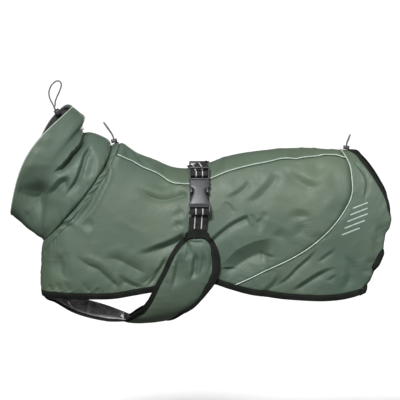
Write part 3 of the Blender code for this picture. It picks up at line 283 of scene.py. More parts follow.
STRAP_TOP_X, STRAP_SIDE_X = -1, 4
STRAP_LIFT = 3.8 * MM
BUCKLE_TOP_SEEN, BUCKLE_END_SEEN, WEB_END_SEEN = -7, -82, -122
UNDER_WING = 1.25 * MM
STRAP_STOP = 0.12  # the angle by which the girth strap ends above the buckle's lower end
SIDE_STRAP_RISE = 8 * MM  # the full height of the side strap's curve out to its bar
STRAP_ROWS, SIDE_STRAP_ROWS = 70, 60
BUCKLE_LENGTH, BUCKLE_CURVE = 86, 4.5
WEB_COLUMNS = 15
# The webbing's turns round the buckle's bars, mm down and out, and its thickness there
UPPER_WRAP = [(11.0, 0.2), (9.4, 2.4), (10.4, 4.6), (14, 5.4), (17.6, 4.6), (18.6, 2.4),
              (17.0, 0.2)]
LOWER_WRAP = [(77.8, 0.2), (78.2, 3.0), (79.8, 5.8), (82.6, 6.4), (85.4, 5.2), (87.5, 3.6)]
RIBBON_THICK = 1.5
SOCKET_MIDDLE, SOCKET_UNDER, SOCKET_ARCH = 4, 0.1, 0.9  # mm out from the buckle's seat


# ---- smooth curves ----

CURVE_POINTS, HALVINGS = 400, 40


def through(knots, rows, at):
    """Smooth values at the given places, through rows of values at the knots."""
    knots, rows, at = (np.asarray(v, float) for v in (knots, rows, at))
    step = np.diff(knots)
    widths = step.reshape((-1,) + (1,) * (rows.ndim - 1))
    slope = np.diff(rows, axis=0) / widths
    bend = np.empty_like(rows)
    bend[0], bend[-1] = slope[0], slope[-1]
    bend[1:-1] = (slope[:-1] * widths[1:] + slope[1:] * widths[:-1]) / (widths[1:] + widths[:-1])
    k = np.clip(np.searchsorted(knots, at, side="right") - 1, 0, len(step) - 1)
    tail = at.shape + (1,) * (rows.ndim - 1)
    t, h = ((at - knots[k]) / step[k]).reshape(tail), step[k].reshape(tail)
    return (rows[k] * (2 * t**3 - 3 * t**2 + 1) + rows[k + 1] * (3 * t**2 - 2 * t**3)
            + h * bend[k] * (t**3 - 2 * t**2 + t) + h * bend[k + 1] * (t**3 - t**2))


def length_along(points):
    """Distances along rows of points, from the first row."""
    steps = np.linalg.norm(np.diff(points, axis=0), axis=-1)
    return np.concatenate([np.zeros((1,) + steps.shape[1:]), np.cumsum(steps, axis=0)])


def read_at(wanted, far, line):
    """A line's values at the wanted distances, where far is each point's distance."""
    return np.stack([np.interp(wanted, far, column) for column in line.T], axis=-1)


def even(points, count, measure=None):
    """Evenly spaced points on a line. Their distances are measured on another if given."""
    far = length_along(points if measure is None else measure)
    return read_at(np.linspace(0, far[-1], count), far, points)


def smooth_line(points, count):
    """Evenly spaced points on a smooth curve through the given ones."""
    points = np.asarray(points, float)
    far = length_along(points)
    return even(through(far, points, np.linspace(0, far[-1], CURVE_POINTS)), count)


def refined(grid, rows, columns):
    """A finer grid of points, smooth through a coarse one."""
    for count in (rows, columns):
        far = length_along(grid).mean(axis=1)
        grid = np.swapaxes(through(far, grid, np.linspace(0, far[-1], count)), 0, 1)
    return grid


def ease(x, low, high):
    """0 at low and 1 at high, smooth at both."""
    t = np.clip((x - low) / (high - low), 0, 1)
    return t * t * (3 - 2 * t)


def bell(x, width):
    """1 where x is 0, and down to nothing in about two widths."""
    return np.exp(-(x / width) ** 2)


def unit(vectors):
    return vectors / np.linalg.norm(vectors, axis=-1, keepdims=True)


def stacked(*values):
    """Values spread to one shape, as the last axis of one array."""
    return np.stack(np.broadcast_arrays(*values), axis=-1)


def quarter_turn(direction):
    return stacked(-direction[..., 1], direction[..., 0])


def halved(low, high, shape, short):
    """Closes in on the places between low and high where short turns false."""
    low, high = np.full(shape, low), np.full(shape, high)
    for _ in range(HALVINGS):
        middle = (low + high) / 2
        below = short(middle)
        low, high = np.where(below, middle, low), np.where(below, high, middle)
    return (low + high) / 2


# ---- wrinkles ----

NOISE_CELLS = 24
BROAD_SIZE, CREASE_SIZE, FINE_SIZE, CREASE_BEND = 52 * MM, 37 * MM, 13 * MM, 9 * MM
FOLD_REACH, FOLD_POINTS = 6, 14  # how many widths a fold reaches, points on its line


def noise(points, size, seed):
    """Smooth noise from -1 to 1 that varies over this size, at rows of x, y, z."""
    table = np.random.default_rng(seed).uniform(-1, 1, (NOISE_CELLS,) * 3)
    scaled = points / size
    cell = np.floor(scaled).astype(int)
    part = scaled - cell
    part = part * part * (3 - 2 * part)
    total = 0
    for corner in np.ndindex(2, 2, 2):
        weight = np.prod(np.where(corner, part, 1 - part), axis=-1)
        x, y, z = np.moveaxis((cell + corner) % NOISE_CELLS, -1, 0)
        total = total + weight * table[x, y, z]
    return total


def wave(along, size, seed):
    """Smooth noise at distances along a line."""
    return noise(stacked(along, 0.37 * size, 0.0), size, seed)


def crumple(points, seed):
    """Soft undulations and a few creases of smooth nylon, in metres."""
    turned = points @ np.array([(0.80, 0, 0.42), (0, 0.9, 0), (-0.50, 0, 0.9)])
    broad = noise(turned, BROAD_SIZE, seed)
    bent = turned + broad[..., None] * CREASE_BEND
    crease = np.clip(1 - 3.2 * np.abs(noise(bent, CREASE_SIZE, seed + 1)), -0.4, 1)
    fine = noise(turned, FINE_SIZE, seed + 2)
    return (0.75 * broad + 0.45 * crease + 0.16 * fine) * MM


def beside(line, x, z, reach):
    """Where places lie beside a line: how far off, to its left or not, how far along."""
    line = smooth_line(np.array(line) * MM, FOLD_POINTS)
    near = ((x > line[:, 0].min() - reach) & (x < line[:, 0].max() + reach)
            & (z > line[:, 1].min() - reach) & (z < line[:, 1].max() + reach))
    place = np.stack([x[near], z[near]], axis=-1)
    best, left, share = np.full(len(place), 1.0), np.zeros(len(place)), np.zeros(len(place))
    for i in range(len(line) - 1):
        step = line[i + 1] - line[i]
        size = np.linalg.norm(step)
        step = step / size
        away = place - line[i]
        t = np.clip(away @ step / size, 0, 1)
        off = away - t[:, None] * step * size
        far = np.hypot(off[:, 0], off[:, 1])
        closer = far < best
        left = np.where(closer, step[0] * off[:, 1] - step[1] * off[:, 0] > 0, left)
        share = np.where(closer, (i + t) / (len(line) - 1), share)
        best = np.where(closer, far, best)
    return near, best, left > 0, share


def fold_profile(kind, r, left):
    """A fold's height for a depth of 1, at r widths from its line."""
    if kind == SOFT:
        return 0.3 * np.exp(-(r - 1.9) ** 2 * 1.5) - np.exp(-r * r)
    if kind == RIDGE:
        down = np.minimum(r, 1) * np.exp(-np.maximum(r - 1, 0) / 0.9)
        return np.where(left, 0.25 * np.exp(-r / 1.1), 0.25 * (1 - np.minimum(r, 1)) - down)
    facet = -np.clip(1 - r, 0, 1) ** 1.6 + 0.25 * np.exp(-((r - 1.5) / 0.6) ** 2)
    return np.where(left, facet, -np.exp(-r / 0.9))


def fold_height(folds, x, z):
    """How far the cloth lies above its smooth form, at places seen from the side."""
    height = np.zeros(x.shape)
    for kind, width, depth, fade_in, fade_out, line in folds:
        near, far, left, share = beside(line, x, z, FOLD_REACH * width * MM)
        strength = ease(share, 0, fade_in) * (1 - ease(share, 1 - fade_out, 1))
        width = width * MM * (0.55 + 0.45 * strength)
        height[near] += depth * MM * strength * fold_profile(kind, far / width, left)
    return height


# ---- the body's skin, as in the model ----

# The hidden side's folds lie this much further ahead and up
FAR_FOLDS_AHEAD, FAR_FOLDS_UP = 7 * MM, 5 * MM
MIDDLE_FADE = 12 * MM  # folds fade out this close to the middle of the back and belly
SEAM_POINTS, HEM_STEPS, CHEST_STEPS = 400, 600, 1400


def body_section(u):
    """The top and the bottom of the section at u, its half-width and its bow."""
    values = through(BODY_SECTIONS[:, 0], BODY_SECTIONS[:, 1:] * MM, u)
    return values[..., 0:2], values[..., 2:4], values[..., 4], values[..., 5]


def across(top, bottom):
    """A section's direction down, its height and the direction square to it."""
    line = bottom - top
    size = np.linalg.norm(line, axis=-1)
    direction = line / size[..., None]
    return direction, size, quarter_turn(direction)


def drop_and_reach(angle):
    """How far down a section and how far out to its side an angle lies, as shares."""
    c, s = np.cos(angle), np.abs(np.sin(angle))
    power = np.where(c >= 0, ROUND_ABOVE, ROUND_BELOW)
    return (1 - np.sign(c) * np.abs(c) ** (2 / power)) / 2, s ** (2 / power)


def angle_of(drop):
    c = 1 - 2 * np.clip(drop, 0, 1)
    power = np.where(c >= 0, ROUND_ABOVE, ROUND_BELOW)
    return np.arccos(np.clip(np.sign(c) * np.abs(c) ** (power / 2), -1, 1))


def skin(top, bottom, half, bow, skew, angle, side):
    """Places round a section: between its top and bottom, bowed, and rounded to its sides."""
    drop, reach = drop_and_reach(angle)
    _, _, normal = across(top, bottom)
    place = top + (bottom - top) * drop[..., None]
    place = place + normal * (bow * np.sin(math.pi * drop**skew))[..., None]
    return stacked(place[..., 0], side * half * reach, place[..., 1])


def body_smooth(u, angle, side):
    top, bottom, half, bow = body_section(u)
    return skin(top, bottom, half, bow, BOW_SKEW, angle, side)


def normals_of(surface, u, angle, side, way):
    """Outward normals. way is 1 where rising u runs to the rear, and -1 to the head."""
    d = 1e-3
    middle = np.clip(angle, d, math.pi - d)
    along = surface(u + d, angle, side) - surface(u - d, angle, side)
    around = surface(u, middle + d, side) - surface(u, middle - d, side)
    return unit(np.cross(around, along) * (-way * np.asarray(side))[..., None])


def seen(points):
    """The x and the height at which places show from the side that they are on."""
    height = points[..., 2] * math.cos(SEEN_RAISE)
    return points[..., 0], height - np.abs(points[..., 1]) * math.sin(SEEN_RAISE)


def spread(*values):
    return np.broadcast_arrays(*(np.asarray(v, float) for v in values))


def body_height(points, side):
    """The body's folds and wrinkles. The hidden side has its own."""
    x, z = seen(points)
    hidden = side > 0
    x, z = np.where(hidden, x + FAR_FOLDS_AHEAD, x), np.where(hidden, z - FAR_FOLDS_UP, z)
    height = fold_height(BODY_FOLDS, x, z) * np.where(hidden, 0.85, 1.0)
    height = height * np.clip(np.abs(points[..., 1]) / MIDDLE_FADE, 0, 1)
    return height + crumple(points + np.array([0, 0.2, 0]) * hidden[..., None], BODY_SEED)


def body(u, angle, side, lift=0.0, wrinkled=1.0):
    """Places on the wrinkled body, or over it by lift."""
    u, angle, side, lift = spread(u, angle, side, lift)
    points = body_smooth(u, angle, side)
    normal = normals_of(body_smooth, u, angle, side, 1)
    height = body_height(points, side) * wrinkled
    return points + normal * (height + lift)[..., None]


def smooth_body(u, angle, side, lift=0.0):
    return body(u, angle, side, lift, 0.0)


def on_body(places, side, lift=0.0):
    """Points of the wrinkled body at rows of (u, angle)."""
    return body(places[..., 0], places[..., 1], side, lift)


def on_smooth(places, side):
    """Points of the smooth body at rows of (u, angle)."""
    u, angle, side = spread(places[..., 0], places[..., 1], side)
    return body_smooth(u, angle, side)


def find(x, z):
    """The place (u, angle) of the smooth body that has this x and z."""
    place = stacked(x, z)

    def drop_and_behind(u):
        top, bottom, _, bow = body_section(u)
        direction, size, normal = across(top, bottom)
        from_top = place - top
        drop = np.clip((from_top * direction).sum(-1) / size, 0, 1)
        return drop, (from_top * normal).sum(-1) - bow * np.sin(math.pi * drop**BOW_SKEW)

    u = halved(*BODY_U, x.shape, lambda u: drop_and_behind(u)[1] > 0)
    return u, angle_of(drop_and_behind(u)[0])


def find_seen(line, count):
    """Places along a line that is drawn as it is seen, x and height in mm."""
    x, shown = smooth_line(np.asarray(line, float) * MM, count).T
    z = shown.copy()
    for _ in range(12):
        u, angle = find(x, z)
        y = np.abs(body_smooth(u, angle, np.ones_like(u))[:, 1])
        z = 0.5 * z + 0.5 * (shown + y * math.sin(SEEN_RAISE)) / math.cos(SEEN_RAISE)
    return stacked(u, angle)


def hem_angle(u, rise):
    """The angle at which the body comes down to this far above the hem."""
    def above(angle):
        point = body_smooth(u, angle, np.ones_like(u))
        hem = through(HEM[:, 0] * MM, HEM[:, 1:] * MM, point[:, 0])[:, 0]
        return point[:, 2] > hem + rise

    return halved(math.pi / 2, math.pi, u.shape, above)


def hem_line(first, last, rise):
    u = np.linspace(first, last, HEM_STEPS)
    return stacked(u, hem_angle(u, rise))


def chest_end(rise):
    """The u where a line this far above the hem reaches the middle of the chest."""
    u = np.linspace(*CHEST_U, CHEST_STEPS)
    return u[np.argmax(hem_angle(u, rise) < math.pi - 1e-3)]


def cut_at_hem(line, rise=0.0):
    """A line down the body, up to the hem or this far above it."""
    below = line[:, 1] > hem_angle(line[:, 0], rise)
    return line[: int(np.argmax(below)) + 1] if below.any() else line


def patch(top, bottom, left, right):
    """A grid of places between four edges."""
    s = np.linspace(0, 1, len(top))[None, :, None]
    t = np.linspace(0, 1, len(left))[:, None, None]
    edges = (1 - t) * top[None] + t * bottom[None] + (1 - s) * left[:, None] + s * right[:, None]
    return edges - ((1 - s) * (1 - t) * top[0] + s * (1 - t) * top[-1]
                    + (1 - s) * t * bottom[0] + s * t * bottom[-1])


def even_on_body(line, count):
    """Places on a line, evenly spaced as they lie on the body."""
    return even(line, count, on_smooth(line, LEFT))


def over_the_back(half):
    """A line or grid from its end on the left up to the back's middle and down the right."""
    return np.concatenate([half[:0:-1], half])


def lengths_across(grid):
    """Distances along each row of a grid from its first column."""
    return length_along(np.swapaxes(grid, 0, 1)).T


def left_then_right(count):
    """The sides of a mirrored line: all but the middle place of one half, then the other."""
    return np.repeat((LEFT, RIGHT), (count - 1, count))


# ---- meshes ----

TAPE_POWER = 0.55  # how square a tape's section is: 1 would be an ellipse
TUBE_UP = np.array([0.13, 0.21, 0.97])  # a way that no tube runs
BRAID_LENGTH = 6 * MM


def finished(obj, replaced=""):
    """A piece rides on the body and may stand for a node."""
    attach(obj, "root")
    if replaced:
        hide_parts(replaced)
    return obj


def placed(name, data):
    obj = bpy.data.objects.new(name, data)
    bpy.context.scene.collection.objects.link(obj)
    return obj


def new_object(name, mesh, *materials):
    for material in materials:
        mesh.materials.append(material)
    mesh.shade_smooth()
    return placed(name, mesh)


def grid_faces(rows, columns, ring):
    """The faces of a grid of points, closed round its columns if it is a ring."""
    i, j = np.meshgrid(np.arange(rows - 1), np.arange(columns if ring else columns - 1),
                       indexing="ij")
    after = (j + 1) % columns
    return np.stack([i * columns + j, i * columns + after, (i + 1) * columns + after,
                     (i + 1) * columns + j], axis=-1).reshape(-1, 4)


def shell(name, outer, inner, materials, ring=False, uv=None):
    """A closed wall between two grids of points. Its inner face has the last material."""
    rows, columns = outer.shape[:2]
    under = rows * columns
    front = grid_faces(rows, columns, ring)
    j = np.arange(columns if ring else columns - 1)
    after = (j + 1) % columns
    last = (rows - 1) * columns
    edges = [stacked(j, after), stacked(last + after, last + j)]
    if not ring:
        i = np.arange(rows - 1) * columns
        edges += [stacked(i + columns, i), stacked(i + columns - 1, i + 2 * columns - 1)]
    edges = np.concatenate(edges)
    sides = np.concatenate([edges[:, ::-1], edges + under], axis=1)
    faces = np.concatenate([front, front[:, ::-1] + under, sides])
    mesh = mesh_of(name, np.stack([outer, inner]), faces.tolist(),
                   None if uv is None else np.stack([uv, uv]))
    kinds = np.zeros(len(faces), np.int32)
    kinds[len(front): 2 * len(front)] = len(materials) - 1
    mesh.polygons.foreach_set("material_index", kinds)
    return new_object(name, mesh, *materials)


def face_outward(mesh):
    """Turns a closed mesh's faces over if they look inward."""
    shape = bmesh.new()
    shape.from_mesh(mesh)
    if shape.calc_volume(signed=True) < 0:
        bmesh.ops.reverse_faces(shape, faces=shape.faces)
    shape.to_mesh(mesh)
    shape.free()


def mesh_of(name, points, faces, uv=None):
    """A mesh whose faces look outward. uv has a row for each point."""
    mesh = bpy.data.meshes.new(name)
    mesh.from_pydata(points.reshape(-1, 3), [], faces)
    if uv is not None:
        order = np.array([v for face in faces for v in face])
        layer = mesh.uv_layers.new(name="cloth")
        layer.data.foreach_set("uv", uv.reshape(-1, 2)[order].reshape(-1))
    face_outward(mesh)
    return mesh


def swept(name, sections, material, uv=None, closed=False):
    """A closed body through rings of points: sections, points around, x y z."""
    rows, around = sections.shape[:2]
    faces = grid_faces(rows, around, True).tolist()
    last = (rows - 1) * around
    if closed:
        faces += [(last + j, last + (j + 1) % around, (j + 1) % around, j) for j in range(around)]
    else:
        faces += [list(range(around))[::-1], list(range(last, last + around))]
    return new_object(name, mesh_of(name, sections, faces, uv), material)


def directions(line, closed=False):
    if closed:
        return unit(np.roll(line, -1, axis=0) - np.roll(line, 1, axis=0))
    return unit(np.gradient(line, axis=0))


def turns(count):
    """Angles once round."""
    return np.linspace(0, 2 * math.pi, count, endpoint=False)


def rounded(theta, power):
    """Cosine and sine at angles round a square with rounded corners."""
    c, s = np.cos(theta), np.sin(theta)
    return np.sign(c) * np.abs(c) ** power, np.sign(s) * np.abs(s) ** power


def tape_normal(inner, outer):
    """The way through a tape between two edge lines."""
    return unit(np.cross(directions((inner + outer) / 2), outer - inner))


def facing(normal, out):
    """Normals, each turned to the side that out points to."""
    return normal * np.sign((normal * out).sum(-1, keepdims=True))


def tape(name, inner, outer, thick, material, around=20):
    """Folded tape between two edge lines, with a rounded section."""
    c, s = rounded(turns(around), TAPE_POWER)
    middle, half = (inner + outer) / 2, (outer - inner) / 2
    sections = (middle[:, None] + half[:, None] * c[None, :, None]
                + tape_normal(inner, outer)[:, None] * (s * thick / 2)[None, :, None])
    wide = 2 * np.linalg.norm(half, axis=-1).mean()
    uv = stacked((c / 2 + 0.5)[None], length_along(middle)[:, None] / wide)
    return swept(name, sections, material, uv)


def tube(name, line, radius, material, around=10, closed=False):
    along = directions(line, closed)
    side = unit(np.cross(along, TUBE_UP))
    up = np.cross(side, along)
    theta = turns(around)
    sections = line[:, None] + radius * (side[:, None] * np.cos(theta)[None, :, None]
                                         + up[:, None] * np.sin(theta)[None, :, None])
    uv = stacked(theta[None] / (2 * math.pi), length_along(line)[:, None] / BRAID_LENGTH)
    return swept(name, sections, material, uv, closed)


# ---- materials ----

WEB_LINE_OUT, WEB_LINE_HALF = 0.184, 0.026  # the light lines, in widths of the webbing


def base_material(name, colour, roughness, **settings):
    made = bpy.data.materials.new(name)
    made.use_nodes = True
    surface = made.node_tree.nodes["Principled BSDF"]
    surface.inputs["Base Color"].default_value = (*colour, 1)
    surface.inputs["Roughness"].default_value = roughness
    for key, value in settings.items():
        surface.inputs[key.replace("_", " ")].default_value = value
    return made


def node(owner, kind, inputs=None, **settings):
    """A new node of a material or of the world, with inputs joined to sockets or set."""
    made = owner.node_tree.nodes.new(kind)
    for key, value in settings.items():
        setattr(made, key, value)
    for key, value in (inputs or {}).items():
        if isinstance(value, bpy.types.NodeSocket):
            owner.node_tree.links.new(value, made.inputs[key])
        else:
            made.inputs[key].default_value = value
    return made


def ramp(material, source, stops):
    """A colour ramp of (place, colour) stops."""
    made = node(material, "ShaderNodeValToRGB", {"Fac": source})
    elements = made.color_ramp.elements
    while len(elements) < len(stops):
        elements.new(0.5)
    for element, (place, colour) in zip(elements, stops):
        element.position, element.color = place, (*colour, 1)
    return made.outputs["Color"]


def grey(value):
    return (value, value, value)


def mottled(material, scale, detail, dark, light, low=0.3):
    """A colour or a roughness that changes softly between two values."""
    return ramp(material, noise_node(material, scale, detail), [(low, dark), (0.7, light)])


def wire(material, colour=None, roughness=None, bumps=()):
    """Joins a material's colour, roughness and bumps: (height, strength, distance in mm)."""
    surface = material.node_tree.nodes["Principled BSDF"]
    links = material.node_tree.links
    if colour is not None:
        links.new(colour, surface.inputs["Base Color"])
    if roughness is not None:
        links.new(roughness, surface.inputs["Roughness"])
    normal = None
    for height, strength, distance in bumps:
        inputs = {"Height": height, "Strength": strength, "Distance": distance * MM}
        if normal is not None:
            inputs["Normal"] = normal
        normal = node(material, "ShaderNodeBump", inputs).outputs["Normal"]
    if normal is not None:
        links.new(normal, surface.inputs["Normal"])
    return material


def noise_node(material, scale, detail, distortion=0.0):
    place = node(material, "ShaderNodeTexCoord").outputs["Object"]
    return node(material, "ShaderNodeTexNoise", {
        "Vector": place, "Scale": scale, "Detail": detail,
        "Distortion": distortion}).outputs["Fac"]


def maths(material, operation, *values):
    return node(material, "ShaderNodeMath", dict(enumerate(values)), operation=operation).outputs[0]


def waves(material, place, scale, distortion, detail, way):
    """A texture of parallel waves. way is the direction that they follow each other in."""
    return node(material, "ShaderNodeTexWave", {
        "Vector": place, "Scale": scale, "Distortion": distortion, "Detail": detail},
        bands_direction=way).outputs["Fac"]


def weave(material, scale):
    """Fine crossing threads, as a height."""
    place = node(material, "ShaderNodeTexCoord").outputs["Object"]
    x, y, z = (waves(material, place, scale, 0.4, 1.0, way) for way in "XYZ")
    return maths(material, "ADD", maths(material, "MAXIMUM", x, z), y)


def make_shell_fabric():
    made = base_material("shell_fabric", (0.077, 0.11, 0.079), 0.52, Specular_IOR_Level=0.35)
    colour = mottled(made, 7, 3, (0.064, 0.1, 0.075), (0.09, 0.122, 0.08))
    rough = mottled(made, 60, 3, grey(0.48), grey(0.58))
    crinkle = noise_node(made, 95, 3, distortion=0.6)
    return wire(made, colour, rough, [(crinkle, 0.35, 1.1), (weave(made, 900), 0.12, 0.1)])


def make_binding():
    made = base_material("binding", (0.007, 0.009, 0.0065), 0.8, Specular_IOR_Level=0.15)
    colour = mottled(made, 45, 3, (0.005, 0.0068, 0.005), (0.011, 0.0132, 0.01))
    bumps = [(weave(made, 700), 0.3, 0.15), (noise_node(made, 130, 2), 0.3, 0.6)]
    return wire(made, colour, None, bumps)


def make_piping():
    made = base_material("piping", (0.34, 0.41, 0.355), 0.4, Sheen_Weight=0.1)
    colour = mottled(made, 260, 2, (0.27, 0.335, 0.283), (0.41, 0.485, 0.42))
    return wire(made, colour, None, [(noise_node(made, 900, 2), 0.4, 0.15)])


def make_lining():
    made = base_material("lining", (0.35, 0.34, 0.34), 0.36, Specular_IOR_Level=0.7)
    soft = noise_node(made, 60, 4, distortion=1.2)
    # painted sheen: the colour turns light along the same noise that raises the crinkles, standing in
    # for the satin's shine on them
    colour = ramp(made, soft, [(0.3, (0.22, 0.213, 0.213)), (0.7, (0.5, 0.485, 0.485))])
    return wire(made, colour, None, [(soft, 0.8, 2.5), (noise_node(made, 220, 3), 0.5, 0.5)])


def make_fleece():
    made = base_material("collar_lining", (0.02, 0.02, 0.021), 0.95, Sheen_Weight=0.35,
                         Sheen_Roughness=0.6)
    colour = mottled(made, 320, 4, (0.012, 0.012, 0.013), (0.036, 0.036, 0.038), 0.35)
    return wire(made, colour, None, [(noise_node(made, 480, 4), 0.8, 0.8)])


def make_webbing():
    """Dark ribbed webbing with two light lines, laid out across and along its UV map."""
    made = base_material("webbing", (0.022, 0.021, 0.021), 0.85, Specular_IOR_Level=0.2)
    place = node(made, "ShaderNodeUVMap", uv_map="cloth").outputs["UV"]
    share = node(made, "ShaderNodeSeparateXYZ", {0: place}).outputs["X"]
    off_middle = maths(made, "ABSOLUTE", maths(made, "SUBTRACT", share, 0.5))
    off_line = maths(made, "ABSOLUTE", maths(made, "SUBTRACT", off_middle, WEB_LINE_OUT))
    stripe = maths(made, "LESS_THAN", off_line, WEB_LINE_HALF)
    dark = mottled(made, 150, 3, (0.014, 0.0135, 0.0135), (0.035, 0.033, 0.033))
    mix = node(made, "ShaderNodeMix", {"Factor": stripe}, data_type="RGBA")
    made.node_tree.links.new(dark, mix.inputs[6])
    mix.inputs[7].default_value = (0.5, 0.5, 0.49, 1)
    ribs = waves(made, place, 14.0, 0.3, 2.0, "DIAGONAL")
    return wire(made, mix.outputs[2], None, [(ribs, 0.5, 0.35), (noise_node(made, 900, 2), 0.3, 0.2)])


def make_plastic():
    made = base_material("buckle_plastic", (0.043, 0.046, 0.05), 0.42, Specular_IOR_Level=0.5)
    rough = mottled(made, 140, 3, grey(0.38), grey(0.47))
    return wire(made, None, rough, [(noise_node(made, 1500, 2), 0.05, 0.1)])


def make_cord_material():
    made = base_material("cord", grey(0.1), 0.65, Sheen_Weight=0.2)
    place = node(made, "ShaderNodeTexCoord").outputs["UV"]
    braid = waves(made, place, 2.0, 0.2, 2.0, "DIAGONAL")
    colour = ramp(made, braid, [(0.2, grey(0.05)), (0.8, grey(0.15))])
    return wire(made, colour, None, [(braid, 0.6, 0.3)])


def make_thread(name, colour):
    made = base_material(name, colour, 0.6, Sheen_Weight=0.1)
    dark, light = (tuple(c * k for c in colour) for k in (0.75, 1.3))
    return wire(made, mottled(made, 500, 2, dark, light))


SHELL, BIND, PIPE = make_shell_fabric(), make_binding(), make_piping()
LINING, FLEECE, WEB = make_lining(), make_fleece(), make_webbing()
PLASTIC, CORD = make_plastic(), make_cord_material()
THREAD = make_thread("thread", (0.075, 0.105, 0.077))
DARK_THREAD = make_thread("dark_thread", (0.011, 0.013, 0.01))


# ---- seam lines ----

REAR_BINDING_WIDTH = np.array([  # share of the way down, mm
    (0, 6.5), (0.12, 5.5), (0.3, 4.5), (0.45, 4.5), (0.55, 8), (0.75, 9), (1, 8)])


def inner_rear_edge():
    """The inner edge of the rear opening's binding, seen from the side."""
    line = smooth_line(REAR_EDGE, 24)
    inward = -quarter_turn(directions(line))
    inward[0] = (-1, 0)
    share = np.linspace(0, 1, len(line))
    return line + inward * np.interp(share, *REAR_BINDING_WIDTH.T)[:, None]


def seam_lines():
    """The spine's seam, the haunch's seam, the index where they meet, and the line inside
    the rear opening's binding."""
    spine = find_seen(SPINE_SEAM, SEAM_POINTS)
    haunch = find_seen(HAUNCH_SEAM, SEAM_POINTS)
    haunch[0, 1] = 0
    meet = np.argmin(np.linalg.norm((haunch - spine[-1]) * (1, 0.1), axis=1))
    spine[-1] = haunch[meet]
    inner = find_seen(inner_rear_edge(), SEAM_POINTS)
    inner[0, 1] = 0
    return spine, haunch, meet, inner


U_UPRIGHT = 0.32
CHEST_COLUMNS = 56


def side_panel_places(spine, haunch, meet, rows, chest_columns, columns):
    """The side panel's grid, from the spine's seam down to the hem and the chest's middle."""
    down_haunch = even_on_body(cut_at_hem(haunch[meet:], HEM_BINDING_WIDTH), rows)
    end = chest_end(HEM_BINDING_WIDTH)
    front = stacked(np.linspace(U_CHANNEL, end, chest_columns), math.pi)
    hem = even_on_body(hem_line(end, down_haunch[-1, 0], HEM_BINDING_WIDTH), columns)
    bottom = np.concatenate([front, hem[1:]])
    share = np.clip((bottom[:, 0] - U_UPRIGHT) / (bottom[-1, 0] - U_UPRIGHT), 0, 1)
    top_u = bottom[:, 0] + (spine[-1, 0] - bottom[-1, 0]) * share**1.3
    top = stacked(top_u, np.interp(top_u, spine[:, 0], spine[:, 1]))
    neck = stacked(U_CHANNEL, np.linspace(top[0, 1], math.pi, rows))
    return patch(top, bottom, neck, down_haunch)


def back_panel_half(spine_edge, over_tail):
    share = np.linspace(0, 1, len(spine_edge))
    middle_u = spine_edge[:, 0] + (over_tail[0, 0] - spine_edge[-1, 0]) * share**6
    neck = stacked(U_CHANNEL, np.linspace(0, spine_edge[0, 1], len(over_tail)))
    return patch(stacked(middle_u, 0.0), spine_edge, neck, over_tail)


def haunch_panel_places(seam, inner, columns):
    rear_inner = even_on_body(cut_at_hem(inner, HEM_BINDING_WIDTH), len(seam))
    top = stacked(np.linspace(seam[0, 0], rear_inner[0, 0], columns), 0.0)
    bottom = even_on_body(hem_line(seam[-1, 0], rear_inner[-1, 0], HEM_BINDING_WIDTH), columns)
    return patch(top, bottom, seam, rear_inner)


# ---- cloth panels on the body ----

PUCKER_REACH, SEAM_HALF = 9 * MM, 1.8 * MM
EDGE_LIFT = -0.8 * MM  # the middle of the bindings, off the cloth's form
THROAT = (1.9, 2.4)  # the angles between which the neck's gathers get weaker
NECK_RADIUS, NECK_PUCKER = 80 * MM, 9 * MM
CHEST_SEAM_HALF = 1.2 * MM
THREAD_IN, THREAD_UP = 0.24, 0.48  # a binding's threads, in shares of its width and thickness
SIDES_FROM = 25 * MM  # this far from the body's middle, out is mostly to the side
SIDE_ROWS, HEM_COLUMNS, HAUNCH_COLUMNS = 150, 180, 84
CHANNEL_ROWS, CHANNEL_COLUMNS = 18, 420
HEM_POINTS, REAR_POINTS = 300, 130


def edge_terms(points, ditch, pucker, seed):
    """Puckers and a sunk line along a grid's edges. ditch and pucker give mm for the
    first row, last row, first column and last column."""
    total = 0
    down, right = length_along(points), lengths_across(points)
    cases = [(down, right[:1]), (down[-1:] - down, right[-1:]),
             (right, down[:, :1]), (right[:, -1:] - right, down[:, -1:])]
    for k, (far, along) in enumerate(cases):
        ripple = wave(along, 8 * MM, seed + k) + 0.6 * wave(along, 4.5 * MM, seed + 9 + k)
        reach = np.exp(-far / PUCKER_REACH) * (1 - bell(far, 2.2 * MM))
        total = total + (pucker[k] * ripple * reach - ditch[k] * bell(far, SEAM_HALF)) * MM
    return total


REAR_TURNS = ((-68, -90, -130, -146), (-163, -178, -188, -204))  # seen heights, in mm
REAR_DENT = (-100, -113, -128, -140)
FAR_TURNS_DOWN = 9  # how much lower they are on the hidden side


def window(z, first, high, low, last):
    """1 between high and low, fading out to first above them and to last below."""
    return ease(z, last, low) * (1 - ease(z, high, first))


def turn_in(points, inside, side):
    """Rolls the rear edge in where it is seen to. inside is the distance from the edge."""
    _, z = seen(points)
    z = z / MM + np.where(side > 0, FAR_TURNS_DOWN, 0)
    turned = sum(window(z, *turn) for turn in REAR_TURNS)
    inside = inside / MM
    out = turned * (9 * bell(inside - 10, 6) - 6 * bell(inside, 5))
    out = out - 6 * window(z, *REAR_DENT) * bell(inside, 16)
    return points + stacked(out, -side * turned * 15 * bell(inside, 8), 0.0) * MM


def cloth_on_body(places, side, ditch, pucker, seed, raised=0.0):
    """The outer and the inner face of cloth on the body, puckered along its edges."""
    u, angle, side = spread(places[..., 0], places[..., 1], side)
    points = body_smooth(u, angle, side)
    normal = normals_of(body_smooth, u, angle, side, 1)
    height = body_height(points, side) + edge_terms(points, ditch, pucker, seed) + raised
    outer = points + normal * height[..., None]
    return outer, outer - normal * CLOTH


